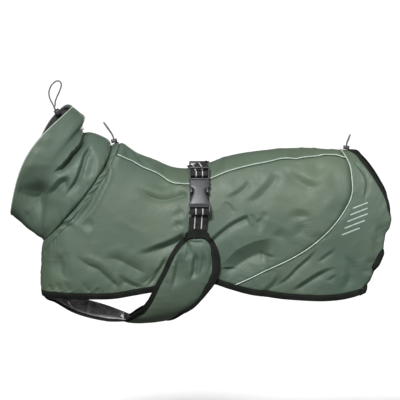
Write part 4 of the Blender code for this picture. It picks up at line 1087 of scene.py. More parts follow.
def declare(grid):
    """Works out how big a piece of cloth was cut, but does nothing with it."""
    length, width = float(length_along(grid)[-1].max()), float(lengths_across(grid)[:, -1].max())
    a, b = grid[1:, 1:] - grid[:-1, :-1], grid[1:, :-1] - grid[:-1, 1:]
    area = float(np.linalg.norm(np.cross(a, b), axis=-1).sum() / 2)
    if area > width * length:
        length = area / width * 1.02


def cloth(name, shown, hidden, solid, rests_on, slot="shell_fabric", materials=(SHELL, LINING),
          ring=False):
    """A piece of cloth between two grids."""
    piece = finished(shell(name, shown, hidden, materials, ring), solid)
    if ring:
        shown = np.concatenate([shown, shown[:, :1]], axis=1)
    declare(shown)


def make_back_panel(spine_edge, over_tail):
    half = back_panel_half(spine_edge, over_tail)
    sides = left_then_right(len(half))[:, None]
    faces = cloth_on_body(over_the_back(half), sides, (1.2, 1.2, 1.6, 0.8),
                          (0.9, 0.9, 1.2, 0.8), BACK_SEED)
    cloth("back_panel_cloth", *faces, "back_panel", ["side_panel_cloth_left"])


def make_side_panel(places, side, word):
    at_neck = 0.4 * (1 - ease(np.linspace(0, 1, len(places)), 0.6, 0.8))[:, None]
    outer, under = cloth_on_body(places, side, (1.2, 0.6, at_neck, 1.2), (0.7, 1.3, 1.6, 0.7),
                                 SIDE_SEED)
    for grid in (outer, under):  # the two sides meet at the seam down the chest
        grid[-1, :CHEST_COLUMNS, 1] -= side * CHEST_SEAM_HALF
    cloth(f"side_panel_cloth_{word}", outer, under, f"side_panel_{word}", ["back_strap"])
    return outer


def make_haunch_panel(places, side, word):
    outer, under = cloth_on_body(places, side, (0, 0.6, 1.2, 0.6), (0, 0.8, 0.7, 0.8),
                                 HAUNCH_SEED)
    inside = lengths_across(outer)
    inside = inside[:, -1:] - inside + EDGE_BINDING_WIDTH
    outer, under = (turn_in(grid, inside, side) for grid in (outer, under))
    cloth(f"haunch_panel_cloth_{word}", outer, under, f"haunch_panel_{word}",
          [f"side_panel_cloth_{word}"])
    return outer


def make_seam_stitches(side_cloth, haunch_cloth, side, word):
    """Threads under the spine's seam and on both sides of the haunch's."""
    out = np.array([0, side, 0.2])
    grids = side_cloth, np.swapaxes(side_cloth, 0, 1)[::-1], np.swapaxes(haunch_cloth, 0, 1)
    rows = [(*inside_edge(grid, SEAM_STITCH_IN), out) for grid in grids]
    stitch_row(f"seam_stitches_{word}", rows, THREAD)


def make_seam_piping(kind, line, side, word):
    route = smooth_line(on_body(line, side, PIPING_RADIUS + 0.1 * MM), 260)[2:-1]
    pipe = tube(f"{kind}_piping_tube_{word}", route, PIPING_RADIUS, PIPE)
    finished(pipe, f"{kind}_piping_{word}")


def make_body(lines):
    spine, haunch, meet, inner = lines
    side_places = side_panel_places(spine, haunch, meet, SIDE_ROWS, CHEST_COLUMNS, HEM_COLUMNS)
    over_tail = even(haunch[: meet + 1], 16)
    make_back_panel(side_places[0], over_tail)
    seam = np.concatenate([over_tail[::3], side_places[1:, -1]])
    haunch_places = haunch_panel_places(seam, inner, HAUNCH_COLUMNS)
    for side, word in SIDES:
        side_cloth = make_side_panel(side_places, side, word)
        haunch_cloth = make_haunch_panel(haunch_places, side, word)
        make_seam_stitches(side_cloth, haunch_cloth, side, word)
        make_seam_piping("spine", side_places[0], side, word)
        make_seam_piping("haunch", seam, side, word)
    return side_places, haunch_places


def body_tape(name, inner_line, outer_line, side, thick, lift, solid, turned=False):
    """Binding between two lines of places on the body, with its row of threads."""
    inner, outer = on_body(inner_line, side, lift), on_body(outer_line, side, lift)
    if turned:
        inner, outer = turn_in(inner, EDGE_BINDING_WIDTH, side), turn_in(outer, 0, side)
    middle = (inner + outer) / 2
    out = stacked(0.0, side, np.full(len(middle), 0.1))
    out = out * np.clip(np.abs(middle[:, 1:2]) / SIDES_FROM, 0, 1) + (0, 0, 0.01)
    normal = facing(tape_normal(inner, outer), out)
    sewn = inner + THREAD_IN * (outer - inner) + normal * thick * THREAD_UP
    stitch_row(name.replace("tape", "stitches"), [(sewn, normal, normal)], DARK_THREAD)
    finished(tape(name, inner, outer, thick, BIND), solid)


def joined(name, pieces):
    """Many small pieces as one."""
    whole = bmesh.new()
    for piece in pieces:
        whole.from_mesh(piece.data)
    mesh = bpy.data.meshes.new(name)
    whole.to_mesh(mesh)
    whole.free()
    obj = new_object(name, mesh, pieces[0].data.materials[0])
    for piece in pieces:
        bpy.data.meshes.remove(piece.data)
    return finished(obj)


def make_motif():
    """A plain stack of slanting bars, in the piping's pale print."""
    bar = np.array(MOTIF_BAR)
    half = quarter_turn(bar) / np.hypot(*bar) * MOTIF_WIDTH / 2
    for side, word in SIDES:
        bars = []
        for k in range(MOTIF_BARS):
            start = np.array(MOTIF_START) + k * np.array(MOTIF_STEP)
            end = start + bar * (1 - 0.12 * abs(k - 1.5))
            pair = [find_seen(np.linspace(start, end, 4) + edge, 24) for edge in (half, -half)]
            inner, outer = (on_body(line, side, MOTIF_LIFT) for line in pair)
            bars.append(tape(f"bar_{word}_{k}", inner, outer, MOTIF_THICK, PIPE, 12))
        joined(f"haunch_motif_{word}", bars)


def inside_edge(grid, far_in):
    """The line this far in from a grid's first row, and the way through the cloth there."""
    far = length_along(grid)
    line = np.array([read_at(far_in, far[:, j], grid[:, j]) for j in range(grid.shape[1])])
    return line, unit(np.cross(grid[3] - grid[0], directions(line)))


def stitches(line, normal, outward):
    """Short threads along a line, lying on the cloth. outward tells which way is out."""
    normal = facing(normal, outward)
    far = length_along(line)
    place, thick, rise = STITCH_RINGS.T
    theta = turns(STITCH_SIDES)[:, None]
    made = []
    for i in range(1, int(far[-1] / STITCH_STEP) - 1):
        places = i * STITCH_STEP + STITCH_LENGTH * place
        middle = read_at(places, far, line)
        up = read_at(i * STITCH_STEP, far, normal)
        sideways = unit(np.cross(middle[-1] - middle[0], up))
        ring = thick[:, None, None] * (sideways * np.cos(theta) + up * np.sin(theta))
        made.append(middle[:, None] + STITCH_RADIUS * (rise[:, None, None] * up + ring))
    return made


def stitch_row(name, rows, material):
    """One piece of all the stitches in rows of (line, normal, outward)."""
    rings = np.array([ring for row in rows for ring in stitches(*row)])
    size = len(STITCH_RINGS) * STITCH_SIDES
    one = grid_faces(len(STITCH_RINGS), STITCH_SIDES, True).tolist()
    one += [list(range(STITCH_SIDES))[::-1], list(range(size - STITCH_SIDES, size))]
    faces = [[v + size * i for v in face] for i in range(len(rings)) for face in one]
    finished(new_object(name, mesh_of(name, rings, faces), material))


def matched_on_body(line, guide):
    """Places on a line at the shares of its length that the guide's places have."""
    shares = length_along(on_smooth(guide, LEFT))
    far = length_along(on_smooth(line, LEFT))
    return read_at(shares / shares[-1] * far[-1], far, line)


def make_edges(lines, side_places, haunch_places):
    """The bindings of the hem and of the rear opening."""
    inner_rear = lines[-1]
    top = np.concatenate([side_places[-1, CHEST_COLUMNS - 1:], haunch_places[-1, 1:]])
    top = even_on_body(top, HEM_POINTS)
    hem = hem_line(chest_end(0.0), cut_at_hem(inner_rear)[-1, 0], 0.0)
    hem = matched_on_body(hem, top)
    hem[0, 1] = math.pi
    for side, word in SIDES:
        body_tape(f"hem_binding_tape_{word}", top, hem, side, BINDING, EDGE_LIFT,
                  f"hem_binding_{word}")
    rear = find_seen(REAR_EDGE, SEAM_POINTS)
    rear[0, 1] = 0
    inner, outer = (over_the_back(even_on_body(cut_at_hem(line), REAR_POINTS))
                    for line in (inner_rear, rear))
    body_tape("rear_binding_tape", inner, outer, left_then_right(REAR_POINTS), BINDING, EDGE_LIFT,
              "rear_binding", turned=True)


def make_neck_channel():
    around = turns(CHANNEL_COLUMNS)[None]
    side, angle = side_and_angle(around)
    share = np.linspace(0, 1, CHANNEL_ROWS)[:, None]
    flat = ease(angle, *THROAT)
    swell = np.sin(math.pi * share * (0.9 + 0.1 * flat)) ** (0.7 + 0.8 * flat)
    gathers = neck_pucker(around, share * 14 * MM) * (1 - bell(share, 0.12))
    edge = 0.3 * bell(1 - share, 0.12)
    height = (1.5 * swell * (1 - 0.6 * flat) + (1.6 * gathers - edge) * (1 - 0.7 * flat)) * MM
    sunk = neck_normal(around) * (seam_depth(around) * bell(share, 0.15))[..., None]
    outer, inner = (body(share * U_CHANNEL, angle, side, lift) - sunk for lift in (height, -CLOTH))
    cloth("neck_channel_cloth", outer, inner, "neck_channel", ["side_panel_cloth_left"],
          ring=True)


# ---- collar ----

LINED_FROM = 0.55  # the w of the lining's lower edge
SEAM_ZONE = 0.02  # how far up the collar its seam draws it in, in w
COLLAR_ROWS, COLLAR_COLUMNS = 92, 320


def collar_smooth(w, angle, side):
    values = through(COLLAR_RINGS[:, 0], COLLAR_RINGS[:, 1:], w)
    top, bottom, half = values[..., 0:2] * MM, values[..., 2:4] * MM, values[..., 4] * MM
    left = np.asarray(side) < 0
    bow = np.where(left, values[..., 5], values[..., 7]) * MM
    skew = np.where(left, values[..., 6], values[..., 8])
    return skin(top, bottom, half, bow, skew, angle, side)


def cuff(x, z):
    """The cuff's height, and how far it is carried down over the hollow under it."""
    height, carried = np.zeros(x.shape), np.zeros(x.shape)
    near, far, left, share = beside(CUFF_LINE, x, z, FOLD_REACH * CUFF_REACH * MM)
    far = far / MM
    turned = np.clip(far / CUFF_TURN, 0, 1)
    under = CUFF_LIP - (CUFF_LIP + CUFF_DEPTH) * turned
    under = np.where(far < CUFF_FLOOR, under, -CUFF_DEPTH * np.exp((CUFF_FLOOR - far) / CUFF_REACH))
    strength = ease(share, 0, 0.3) * (1 - 0.6 * ease(share, 0.7, 1)) * MM
    height[near] = strength * np.where(left, CUFF_LIP * np.exp(-far / CUFF_REACH), under)
    carried[near] = strength * CUFF_OVERHANG * np.where(
        left, np.exp(-far / CUFF_REACH), 1 - turned)
    return height, carried


def collar(w, around, lift=0.0, deep=0.0):
    """Places on the collar, lifted off it, and sunk at the neck's seam by deep."""
    w, around, lift, deep = spread(w, around, lift, deep)
    side, angle = side_and_angle(around)
    hidden = side > 0
    low_rim = 0.055 * bell(angle - 0.55, 0.45) * ease(w, 0.4, 1.0)
    w = np.where(hidden, w * (1 - low_rim), w)
    w = w * (1 - 0.045 * bell(math.pi - angle, 0.2) * ease(w, 0.6, 1.0))
    points = collar_smooth(w, angle, side)
    normal = normals_of(collar_smooth, w, angle, side, -1)
    x, z = seen(points)
    x = np.where(hidden, x + 5 * MM, x)
    off_seam, off_rim = np.clip(w / 0.08, 0, 1), np.clip((1 - w) / 0.12, 0, 1)
    kept = np.where(hidden, 0.8, 1.0) * off_rim * off_seam
    over, carried = cuff(x, z)
    folds = fold_height(COLLAR_FOLDS, x, z) * (1 - 0.8 * ease(angle, 2.35, 2.95))
    height = (folds + over) * kept + crumple(points, COLLAR_SEED) * ease(w, 1.0, 0.85) * off_seam
    (x_low, z_low), (x_high, z_high) = CUFF_LINE[0], CUFF_LINE[-1]
    down = unit(np.array([z_high - z_low, 0, x_low - x_high]))
    down = down - normal * (normal @ down)[..., None]
    return (points + normal * (height + lift)[..., None] + down * (carried * kept)[..., None]
            - neck_normal(around) * deep[..., None])


def side_and_angle(around):
    return (np.where(around < math.pi, LEFT, RIGHT),
            np.where(around < math.pi, around, 2 * math.pi - around))


def neck_normal(around):
    """Outward from the neck's seam, which the collar and the channel share."""
    side, angle = side_and_angle(around)
    u = np.zeros(around.shape)
    return unit(normals_of(body_smooth, u, angle, side, 1)
                + normals_of(collar_smooth, u, angle, side, -1))


def seam_depth(around):
    """How deep the neck's seam is drawn in. It fades out at the throat."""
    _, angle = side_and_angle(around)
    depth = 4.4 * ease(angle, 0.15, 0.8)
    depth = depth + 0.8 * wave(around * NECK_RADIUS, NECK_PUCKER, NECK_SEED + 3)
    return depth * (1 - ease(angle, 1.95, 2.6)) * MM


def neck_pucker(around, shift=0.0):
    along = around * NECK_RADIUS + shift
    return wave(along, NECK_PUCKER, NECK_SEED) + 0.8 * wave(along, 5 * MM, NECK_SEED + 1)


def ring_normals(grid):
    """Outward normals of a grid that closes round on itself."""
    on = np.roll(grid, -1, axis=1) - np.roll(grid, 1, axis=1)
    normal = unit(np.cross(np.gradient(grid, axis=0), on))
    out = grid - grid.mean(axis=1, keepdims=True)
    return normal * np.sign((normal * out).sum(-1).mean())


def make_collar():
    around = turns(COLLAR_COLUMNS)[None]
    _, angle = side_and_angle(around)
    w = np.concatenate([np.linspace(0, 0.96, COLLAR_ROWS), [0.972, 0.983, 0.992, 1.0]])[:, None]
    at_seam = bell(w, SEAM_ZONE)
    pucker = 1.5 * MM * neck_pucker(around, w * 60 * MM) * np.exp(-w / 0.09)
    pucker = pucker * (1 - at_seam) * (1 - 0.7 * ease(angle, *THROAT))
    rim = -1.2 * MM * ease(w, 0.975, 1.0)
    outer = collar(w, around, rim + pucker, seam_depth(around) * at_seam)
    normal = ring_normals(outer)
    cloth("collar_cloth", outer, outer - normal * (CLOTH + 0.3 * MM), "collar",
          ["neck_channel_cloth"], materials=(SHELL, FLEECE), ring=True)
    lined = w[:, 0] > LINED_FROM
    pile = 0.35 * MM * wave(around * NECK_RADIUS, NECK_PUCKER, NECK_SEED + 2)[0, :, None]
    top = (outer - normal * (CLOTH + 0.6 * MM))[lined]
    under = (outer - normal * (CLOTH + 1.9 * MM - pile))[lined]
    cloth("collar_fleece", under, top, "collar_lining", ["collar_cloth"], "collar_lining",
          (FLEECE,), ring=True)
    route = collar(0.988, around[0], 0.2 * MM)
    pipe = tube("collar_piping_tube", route, 0.9 * MM, PIPE, closed=True)
    finished(pipe, "collar_piping")


# ---- belly panel and chest strip ----

WING_POINTS = 160
BELLY_LIFT = 3.6 * MM
BELLY_OUTER = BELLY_LIFT + 1.6 * MM
EDGE_MM = EDGE_BINDING_WIDTH / MM
ROWS_WING, ROWS_MIDDLE = 90, 14
WING_REAR_WIDE = 13  # mm of binding beside the strap's end


def wing_edge(line, middle, way, inset, far_in=0.0):
    """Places down a wing's edge, moved in by inset, and on to the middle under the belly.
    way is 1 where the edge faces the head. far_in takes more off lower down."""
    line = np.array(line, float)
    moved = inset + far_in * ease(np.linspace(0, 1, len(line)), 0.2, 0.6)
    line = line + quarter_turn(directions(line)) * way * moved[:, None]
    places = find_seen(line, WING_POINTS)
    under, _ = find(np.array([(middle + way * inset) * MM]), np.array([-0.26]))
    steps = np.linspace(0, 1, WING_POINTS)[1:]
    way_on = np.array([under[0], math.pi]) - places[-1]
    return np.concatenate([places, places[-1] + way_on * stacked(steps**0.7, steps)])


def split_at_width(line, half_width):
    """A line that runs in under the belly, cut where it is this far from the middle."""
    wide = np.abs(on_smooth(line, LEFT)[:, 1]) > half_width * MM
    wide[: len(line) // 3] = True
    cut = int(np.argmin(wide))
    return line[: cut + 1], line[cut:]


def mirrored(left, right=None):
    """A line down the left side and on up the right side, on the same places or on others."""
    return np.concatenate([left, (left if right is None else right)[-2::-1]])


def wing_height(whole, sides):
    """The belly panel's own swell, its gathers at the buckle and its folds."""
    rows, columns = len(whole) // 2 + 1, whole.shape[1]
    x, z = seen(on_smooth(whole, sides))
    t = np.concatenate([np.linspace(0, 1, rows), np.linspace(1, 0, rows)[1:]])[:, None]
    s = np.linspace(0, 1, columns)[None]
    swell = 3.2 * (1 - np.abs(2 * s - 1) ** 3.0) * ease(t, 0, 0.12)
    bunched = 2.2 * s + 0.5 * np.sin(5 * s)
    gathers = 0.9 * np.sin(2 * math.pi * bunched) * np.exp(-t / 0.07) * ease(t, 0, 0.02)
    return (swell + gathers) * MM + fold_height(WING_FOLDS, x, z)


def wing_front(far_in):
    """The front edge, its binding's inner edge and the row across the middle."""
    front, _ = split_at_width(wing_edge(WING_FRONT, WING_FRONT_MIDDLE, 1, 0, far_in),
                              STRIP_HALF_WIDTH)
    inner, middle = split_at_width(wing_edge(WING_FRONT, WING_FRONT_MIDDLE, 1, EDGE_MM, far_in),
                                   STRIP_HALF_WIDTH - EDGE_MM)
    front, inner = (even_on_body(line, ROWS_WING + 1) for line in (front, inner))
    middle = even_on_body(middle, ROWS_MIDDLE + 1)
    return front, inner, np.concatenate([inner, middle[1:]])


def make_belly():
    rows = ROWS_WING + ROWS_MIDDLE + 1
    share = np.linspace(0, 1, rows)[:, None]
    rear, rear_in, wide = (even_on_body(wing_edge(WING_REAR, WING_REAR_MIDDLE, -1, inset), rows)
                           for inset in (0, EDGE_MM, WING_REAR_WIDE))
    rear_in = rear_in + (rear - rear_in) * 0.45 * ease(share, 0.34, 0.6)
    wide = rear_in + (wide - rear_in) * ease(share, 0.03, 0.14) * (1 - ease(share, 0.3, 0.55))
    fronts = wing_front(0), wing_front(FAR_WING_IN)
    columns = np.linspace(0, 1, 46)[None, :, None]
    whole = mirrored(*(front_in[:, None] * (1 - columns) + rear_in[:, None] * columns
                       for _, _, front_in in fronts))
    sides = left_then_right(rows)
    faces = cloth_on_body(whole, sides[:, None], (0.4, 0.4, 0.5, 0.5), (0, 0, 0.9, 0.9),
                          BELLY_SEED, BELLY_OUTER + wing_height(whole, sides[:, None]))
    cloth("belly_panel_cloth", *faces, "belly_panel", ["side_strap_left"])
    lift = BELLY_LIFT + 0.8 * MM
    body_tape("belly_rear_binding_tape", mirrored(wide), mirrored(rear), sides, BINDING,
              lift + 0.8 * MM, "belly_rear_binding")
    top_edges = [find_seen(line, 30) for line in (WING_TOP_LOWER, WING_TOP_UPPER)]
    for (side, word), (front, inner, _) in zip(SIDES, fronts):
        body_tape(f"belly_front_binding_tape_{word}", inner, front, side, BINDING, lift,
                  f"belly_front_binding_{word}")
        body_tape(f"belly_top_binding_tape_{word}", *top_edges, side, 2.2 * MM,
                  lift + 1.6 * MM, "")
    make_strip(mirrored(*(np.concatenate([front[-1:], front_in[ROWS_WING::7]])
                          for front, _, front_in in fronts)))


def row_inside_chest(rise, y):
    """Places along a line this far above the hem, inside the chest, at these y."""
    line = hem_line(chest_end(rise), CHEST_U[1], rise)
    return read_at(np.abs(y), np.abs(on_smooth(line, LEFT)[:, 1]), line)


def strip_rows(last, y, sides):
    """The strip's grid: two rows inside the chest's hem, the free part and the last row."""
    far = length_along(CHEST_STRIP[:, :2])
    free = through(far, CHEST_STRIP, np.linspace(0, far[-1], 13)) * MM
    rows = [smooth_body(*row_inside_chest(rise * MM, y).T, sides, -4.1 * MM) for rise in (9, -3)]
    for x, z, rise in free:
        rows.append(stacked(x, y, z + rise * y / y[-1] / 2 + 0.8 * MM))
    return np.array([*rows, smooth_body(*last.T, sides, BELLY_LIFT + 0.8 * MM)])


def make_strip(last):
    """The strip from inside the chest's hem, between the front legs, to the belly panel."""
    columns = len(last)
    sides = np.where(np.arange(columns) <= columns // 2, LEFT, RIGHT)
    half = STRIP_HALF_WIDTH * MM
    steps = np.linspace(0, half - EDGE_BINDING_WIDTH, columns // 2)[1:]
    rows = strip_rows(last, np.concatenate([[-half], -steps[::-1], [0], steps, [half]]), sides)
    middle = refined(rows[:, 1:-1], 110, 34)
    across_strip = np.swapaxes(directions(np.swapaxes(middle, 0, 1)), 0, 1)
    normal = np.cross(directions(middle), across_strip)
    normal *= np.sign(normal[..., 2:].mean())
    sag = crumple(middle, STRIP_SEED)[..., None] * 1.2
    cloth("chest_strip_cloth", middle + normal * (sag - 0.8 * MM),
          middle + normal * (sag + 0.5 * MM), "chest_strip", ["belly_panel_cloth"])
    creases = 1 - 2 * np.abs(noise(middle, 16 * MM, STRIP_SEED + 2))
    creases = creases + 0.5 * noise(middle, 7 * MM, STRIP_SEED + 3)
    top = middle + normal * (sag + 1.0 * MM)
    face = top + normal * (1.3 + 0.9 * creases[..., None]) * MM
    cloth("chest_strip_satin", face[3:-3], top[3:-3], "chest_strip_lining",
          ["chest_strip_cloth"], "lining", (LINING,))
    for word, pick, way in (("left", slice(0, 2), -1), ("right", slice(-2, None), 1)):
        inner, outer = np.swapaxes(refined(rows[:, pick], 110, 2), 0, 1)[::way]
        piece = tape(f"chest_strip_binding_tape_{word}", inner, outer, BINDING, BIND)
        finished(piece, f"chest_strip_binding_{word}")


# ---- straps ----

def u_at(x, angle):
    """Where the smooth body has this x at this angle."""
    x, angle = spread(x, angle)
    return halved(*STRAP_U, x.shape,
                  lambda u: body_smooth(u, angle, np.ones_like(u))[..., 0] < x)


def web_strip(name, surface, angles, middles, lifts, sides, replaced):
    """Webbing that lies on the coat along a row of angles."""
    share = np.linspace(-0.5, 0.5, WEB_COLUMNS)
    angle = np.repeat(angles[:, None], WEB_COLUMNS, axis=1)
    u = u_at(middles[:, None] + share * WEB_WIDTH, angle)
    round_edge = 0.5 * MM * np.abs(2 * share) ** 8
    side = np.broadcast_to(sides, angles.shape)[:, None]
    outer, inner = (surface(u, angle, side, lifts[:, None] + lift)
                    for lift in (WEB_THICK - round_edge, round_edge))
    far = length_along(outer[:, WEB_COLUMNS // 2])
    uv = stacked(share[None] + 0.5, far[:, None] / WEB_WIDTH)
    finished(shell(name, outer, inner, (WEB,), uv=uv), replaced)


def buckle_bend(a):
    middle = BUCKLE_LENGTH / 2
    return BUCKLE_CURVE * ((a - middle) / middle) ** 2


def buckle_frame():
    """A buckle's seat at its upper end, its way down and out, and the angles of its ends."""
    ends = find_seen([(STRAP_SIDE_X, BUCKLE_TOP_SEEN), (STRAP_SIDE_X, BUCKLE_END_SEEN)], 2)
    start, end = smooth_body(ends[:, 0], ends[:, 1], LEFT)
    down = unit(end - start)
    out = unit(np.cross(down, np.array([1.0, 0, 0])))
    angles = np.linspace(ends[0, 1], ends[1, 1], 20)[:, None]
    edges = STRAP_SIDE_X * MM + np.array([-0.6, 0, 0.6]) * 31 * MM
    under = smooth_body(u_at(edges, angles), angles, LEFT, STRAP_LIFT + WEB_THICK) - start
    room = under @ out + buckle_bend((under @ down) / MM) * MM
    return start + out * (room.max() - 0.2 * MM), down, out, ends[:, 1]


def make_straps(buckle):
    *_, (top_angle, end_angle) = buckle
    angles = np.linspace(0, end_angle - STRAP_STOP, STRAP_ROWS)
    angles = np.concatenate([-angles[:0:-1], angles])
    share = np.clip(np.abs(angles) / top_angle, 0, 1)
    middles = (STRAP_TOP_X + (STRAP_SIDE_X - STRAP_TOP_X) * share) * MM
    web_strip("back_strap_webbing", smooth_body, np.abs(angles), middles,
              np.full(len(angles), STRAP_LIFT), np.where(angles < 0, LEFT, RIGHT), "back_strap")
    stop = find_seen([(STRAP_SIDE_X, WEB_END_SEEN + 30), (1, WEB_END_SEEN)], 2)[-1, 1]
    share = np.linspace(0, 1, SIDE_STRAP_ROWS)
    middles = (STRAP_SIDE_X - 1) * (1 - share) * MM
    lifts = UNDER_WING + SIDE_STRAP_RISE * (1 - ease(share, -0.2, 0.62))
    for side, word in SIDES:
        web_strip(f"side_strap_webbing_{word}", body, end_angle + (stop - end_angle) * share,
                  middles, lifts, side, f"side_strap_{word}")


# ---- buckles ----

def in_buckle(points, buckle, side):
    """Points from a buckle's own frame, mm across, down and out, to the coat."""
    seat, down, out, _ = buckle
    x, a, n = np.moveaxis(np.array(points, float), -1, 0)[..., None]
    place = seat + (x * np.array([1.0, 0, 0]) + a * down + (n - buckle_bend(a)) * out) * MM
    place[..., 1] *= -side
    return place


def plastic_part(name, shape, replaced=""):
    """A finished plastic piece out of a bmesh, which it uses up."""
    mesh = bpy.data.meshes.new(name)
    shape.to_mesh(mesh)
    shape.free()
    face_outward(mesh)
    obj = new_object(name, mesh, PLASTIC)
    mesh.set_sharp_from_angle(angle=math.radians(50))
    finished(obj, replaced)


def buckle_part(name, shape, buckle, side, replaced=""):
    for vertex in shape.verts:
        vertex.co = in_buckle(np.array(vertex.co), buckle, side)
    plastic_part(name, shape, replaced)


def rounded_box(shape, x, a, n, radius, segments=3):
    """Adds a block with rounded edges to a bmesh, in the buckle's frame."""
    made = bmesh.ops.create_cube(shape, size=1)["verts"]
    for vertex in made:
        vertex.co = Vector([low + (high - low) * (c + 0.5)
                            for c, (low, high) in zip(vertex.co, (x, a, n))])
    edges = {edge for vertex in made for edge in vertex.link_edges}
    bmesh.ops.bevel(shape, geom=list(edges), offset=radius, segments=segments, affect="EDGES",
                    profile=0.5)


SOCKET_HALF = np.array([  # down, half-width
    (25.9, 15.4), (27.2, 16.6), (34, 16.4), (40, 16.2), (41.8, 13.4), (43.5, 11), (47, 10),
    (51, 10.3), (56, 11.9), (63, 14.6), (69, 16.9), (72, 17.8), (75.6, 17.9),
])


def make_socket(buckle, side, word):
    """The socket's shell with its arched back, and its foot with the strap's bar."""
    a = np.concatenate([np.linspace(25.9, 28, 6)[:-1], np.linspace(28, 73, 58), [74.2, 75.2, 75.6]])
    half = through(SOCKET_HALF[:, 0], SOCKET_HALF[:, 1], a)
    c, s = rounded(turns(48), 0.5)
    crown = SOCKET_MIDDLE + 4.18 * ease(a, 25.5, 28.5) * (1 - 0.42 * ease(a, 70.5, 74.5))
    crown = np.where(a > 75, crown - 0.6, crown)[:, None]
    x = half[:, None] * c[None]
    arch = SOCKET_ARCH * (1 - (x / 18) ** 2)
    above = crown - SOCKET_MIDDLE + arch - SOCKET_ARCH
    n = SOCKET_MIDDLE + np.where(s > 0, above, SOCKET_MIDDLE - SOCKET_UNDER) * s
    rings = in_buckle(stacked(x, a[:, None], n), buckle, side)
    whole = swept(f"buckle_socket_shell_{word}", rings, PLASTIC)
    finished(whole, f"buckle_socket_{word}")
    shape = bmesh.new()
    for way in (-1, 1):
        rounded_box(shape, sorted((way * 15.8, way * 18.0)), (73.5, 86), (0.4, 7.2), 0.9)
    rounded_box(shape, (-16.4, 16.4), (80.2, 84.6), (1.2, 5.2), 1.2)
    buckle_part(f"buckle_socket_foot_{word}", shape, buckle, side)


def make_plug(buckle, side, word):
    shape = bmesh.new()
    for way in (-1, 1):
        rounded_box(shape, sorted((way * 14.4, way * 17.1)), (0.2, 25.4), (0.3, 4.6), 1.0)
    for low, high, top in ((0.1, 3.4, 5.2), (10.6, 17.4, 3.4), (22.6, 25.6, 5.0)):
        rounded_box(shape, (-16.6, 16.6), (low, high), (0.3, top), 1.2)
    for way in (-1, 1):  # the springy arms, with their hooked tips in the side notches
        rounded_box(shape, sorted((way * 11.6, way * 14.6)), (24, 46), (2.6, 5.4), 0.8)
        rounded_box(shape, sorted((way * 11.2, way * 15.6)), (42.6, 50.5), (2.0, 6.0), 1.6, 4)
    buckle_part(f"buckle_plug_body_{word}", shape, buckle, side, f"buckle_plug_{word}")


def ribbon(name, path, buckle, side, width, replaced=""):
    """Webbing that follows a path of (down, out) points in a buckle's frame."""
    path = smooth_line(path, 60)
    normal = quarter_turn(directions(path))
    share = np.linspace(-0.5, 0.5, WEB_COLUMNS)
    faces = []
    for lift in (RIBBON_THICK / 2, -RIBBON_THICK / 2):
        edge = np.sign(lift) * 0.35 * np.abs(2 * share) ** 8
        moved = path[:, None] + normal[:, None] * (lift - edge)[None, :, None]
        places = stacked(share[None] * width, moved[..., 0], moved[..., 1])
        faces.append(in_buckle(places, buckle, side))
    uv = stacked(share[None] + 0.5, length_along(path)[:, None] * MM / WEB_WIDTH)
    finished(shell(name, *faces, (WEB,), uv=uv), replaced)


def make_buckles():
    """Both buckles, with the strap's turns round their bars. Returns the left one's frame."""
    buckle = buckle_frame()
    for side, word in SIDES:
        make_socket(buckle, side, word)
        make_plug(buckle, side, word)
        ribbon(f"buckle_webbing_wrap_{word}", UPPER_WRAP, buckle, side, 28.6,
               f"buckle_webbing_{word}")
        ribbon(f"buckle_webbing_lower_{word}", LOWER_WRAP, buckle, side, 31.0)
    return buckle


# ---- cords and their locks ----

def lock_axes(up, along):
    up = unit(np.array(up, float))
    along = unit(np.array(along, float) - up * (np.array(along) @ up))
    return np.stack([np.cross(along, up), along, up])


def make_lock(name, size, up, along):
    """A cord lock: a ribbed barrel with a sprung button at one end. Returns the middle of
    its top, its way up and the way from its barrel to its button."""
    centre = np.mean(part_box(name), axis=0)
    axes = lock_axes(up, along)
    shape = bmesh.new()
    x, y, z = (s / 2 for s in size)
    rounded_box(shape, (-x, x), (-y, y * 0.45), (-z, z), 1.7, 4)
    rounded_box(shape, (-x * 0.72, x * 0.72), (y * 0.35, y), (-z * 0.72, z * 0.72), 1.2, 3)
    for place in (-0.55, -0.2, 0.15):
        rounded_box(shape, (-x * 1.03, x * 1.03), (y * place - 0.5, y * place + 0.5),
                    (-z * 1.03, z * 1.03), 0.45, 2)
    for vertex in shape.verts:
        vertex.co = centre + (np.array(vertex.co) * MM) @ axes
    plastic_part(name + "_body", shape, name)
    return centre + axes[2] * (z + 0.3) * MM, axes[2], axes[1]


def make_cord(name, loop, top, up, along):
    """A free loop of cord that starts and ends in its lock's top."""
    side = along * CORD_APART * (-1 if along[1] > 0 else 1)
    rise = up * CORD_RISE
    route = np.array([top + side, top + side + rise, *(np.array(loop) * MM + top),
                      top - side + rise, top - side])
    far = length_along(route)
    points = through(far, route, np.linspace(0, far[-1], CORD_POINTS))
    obj = tube(name + "_loop", points, CORD_DIAMETER / 2, CORD, around=12)
    finished(obj, name)


def make_cords():
    for kind, loop, size, axes in CORDS:
        make_cord(f"{kind}_cord", loop, *make_lock(f"{kind}_lock", size, *axes))


# ---- stage ----

FLOOR_HEIGHT, FLOOR_SIZE = -0.5, 40
DOME_LIGHT = (0.11, 0.29)  # from underfoot and from overhead
CAMERA_FAR = 10.0
PHOTO_WIDTH, PIXELS_A_MM = 400, 0.6
SEEN_MIDDLE, SEEN_WIDTH = (5 * MM, 0, -55.4 * MM), PHOTO_WIDTH / PIXELS_A_MM * MM
SUNS = (  # name, where it shines from, strength, width in degrees
    ("key", (-0.3, -1.0, 0.85), 4.0, 14),
    ("side", (0.9, -0.8, 0.3), 0.8, 40),
    ("behind", (0.45, 1.0, 0.0), 1.8, 25),
)


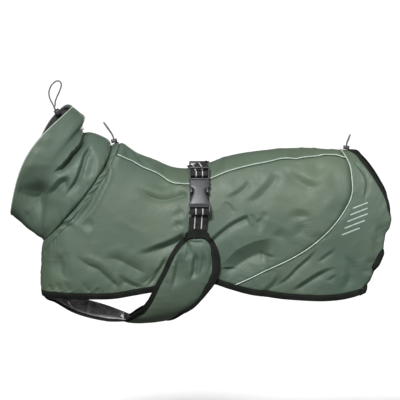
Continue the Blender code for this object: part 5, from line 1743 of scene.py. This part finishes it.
def make_floor():
    mesh = bpy.data.meshes.new("floor")
    size = FLOOR_SIZE
    corners = [(-size, -size), (size, -size), (size, size), (-size, size)]
    mesh.from_pydata([(x, y, FLOOR_HEIGHT) for x, y in corners], [], [(0, 1, 2, 3)])
    pale = base_material("floor_pale", grey(0.9), 0.9)
    mesh.materials.append(wire(pale, mottled(pale, 0.6, 2, grey(0.97), grey(0.99))))
    floor = placed("floor", mesh)
    floor.visible_diffuse = floor.visible_glossy = False


def make_world():
    """A dim dome of white light, brighter overhead than underfoot."""
    world = bpy.data.worlds.new("studio")
    bpy.context.scene.world = world
    world.use_nodes = True
    place = node(world, "ShaderNodeTexCoord").outputs["Generated"]
    height = node(world, "ShaderNodeSeparateXYZ", {0: place}).outputs["Z"]
    low, high = DOME_LIGHT
    strength = node(world, "ShaderNodeMapRange", {
        "Value": height, "From Min": -1, "From Max": 1, "To Min": low, "To Max": high})
    back = world.node_tree.nodes["Background"]
    world.node_tree.links.new(strength.outputs["Result"], back.inputs["Strength"])
    back.inputs["Color"].default_value = (1, 1, 1, 1)


def make_stage():
    """A pale floor, a dome of light and three soft lamps."""
    make_floor()
    make_world()
    for name, place, power, width in SUNS:
        light = bpy.data.lights.new(name, "SUN")
        light.energy, light.angle = power, math.radians(width)
        obj = placed(name, light)
        obj.rotation_euler = Vector(place).to_track_quat("Z", "Y").to_euler()
    bpy.context.scene.view_settings.view_transform = "Standard"


def make_camera():
    """Far off with a long lens, level with the photograph's view of the left side."""
    back = Vector((0, -math.cos(SEEN_RAISE), math.sin(SEEN_RAISE)))
    data = bpy.data.cameras.new("camera")
    data.lens = data.sensor_width * CAMERA_FAR / SEEN_WIDTH
    data.clip_end = 100
    camera = placed("camera", data)
    camera.location = Vector(SEEN_MIDDLE) + back * CAMERA_FAR
    camera.rotation_euler = (-back).to_track_quat("-Z", "Y").to_euler()
    bpy.context.scene.camera = camera


def main():
    lines = seam_lines()
    side_places, haunch_places = make_body(lines)
    make_edges(lines, side_places, haunch_places)
    make_motif()
    make_neck_channel()
    make_collar()
    make_belly()
    buckle = make_buckles()
    make_straps(buckle)
    make_cords()
    make_stage()
    make_camera()


main()
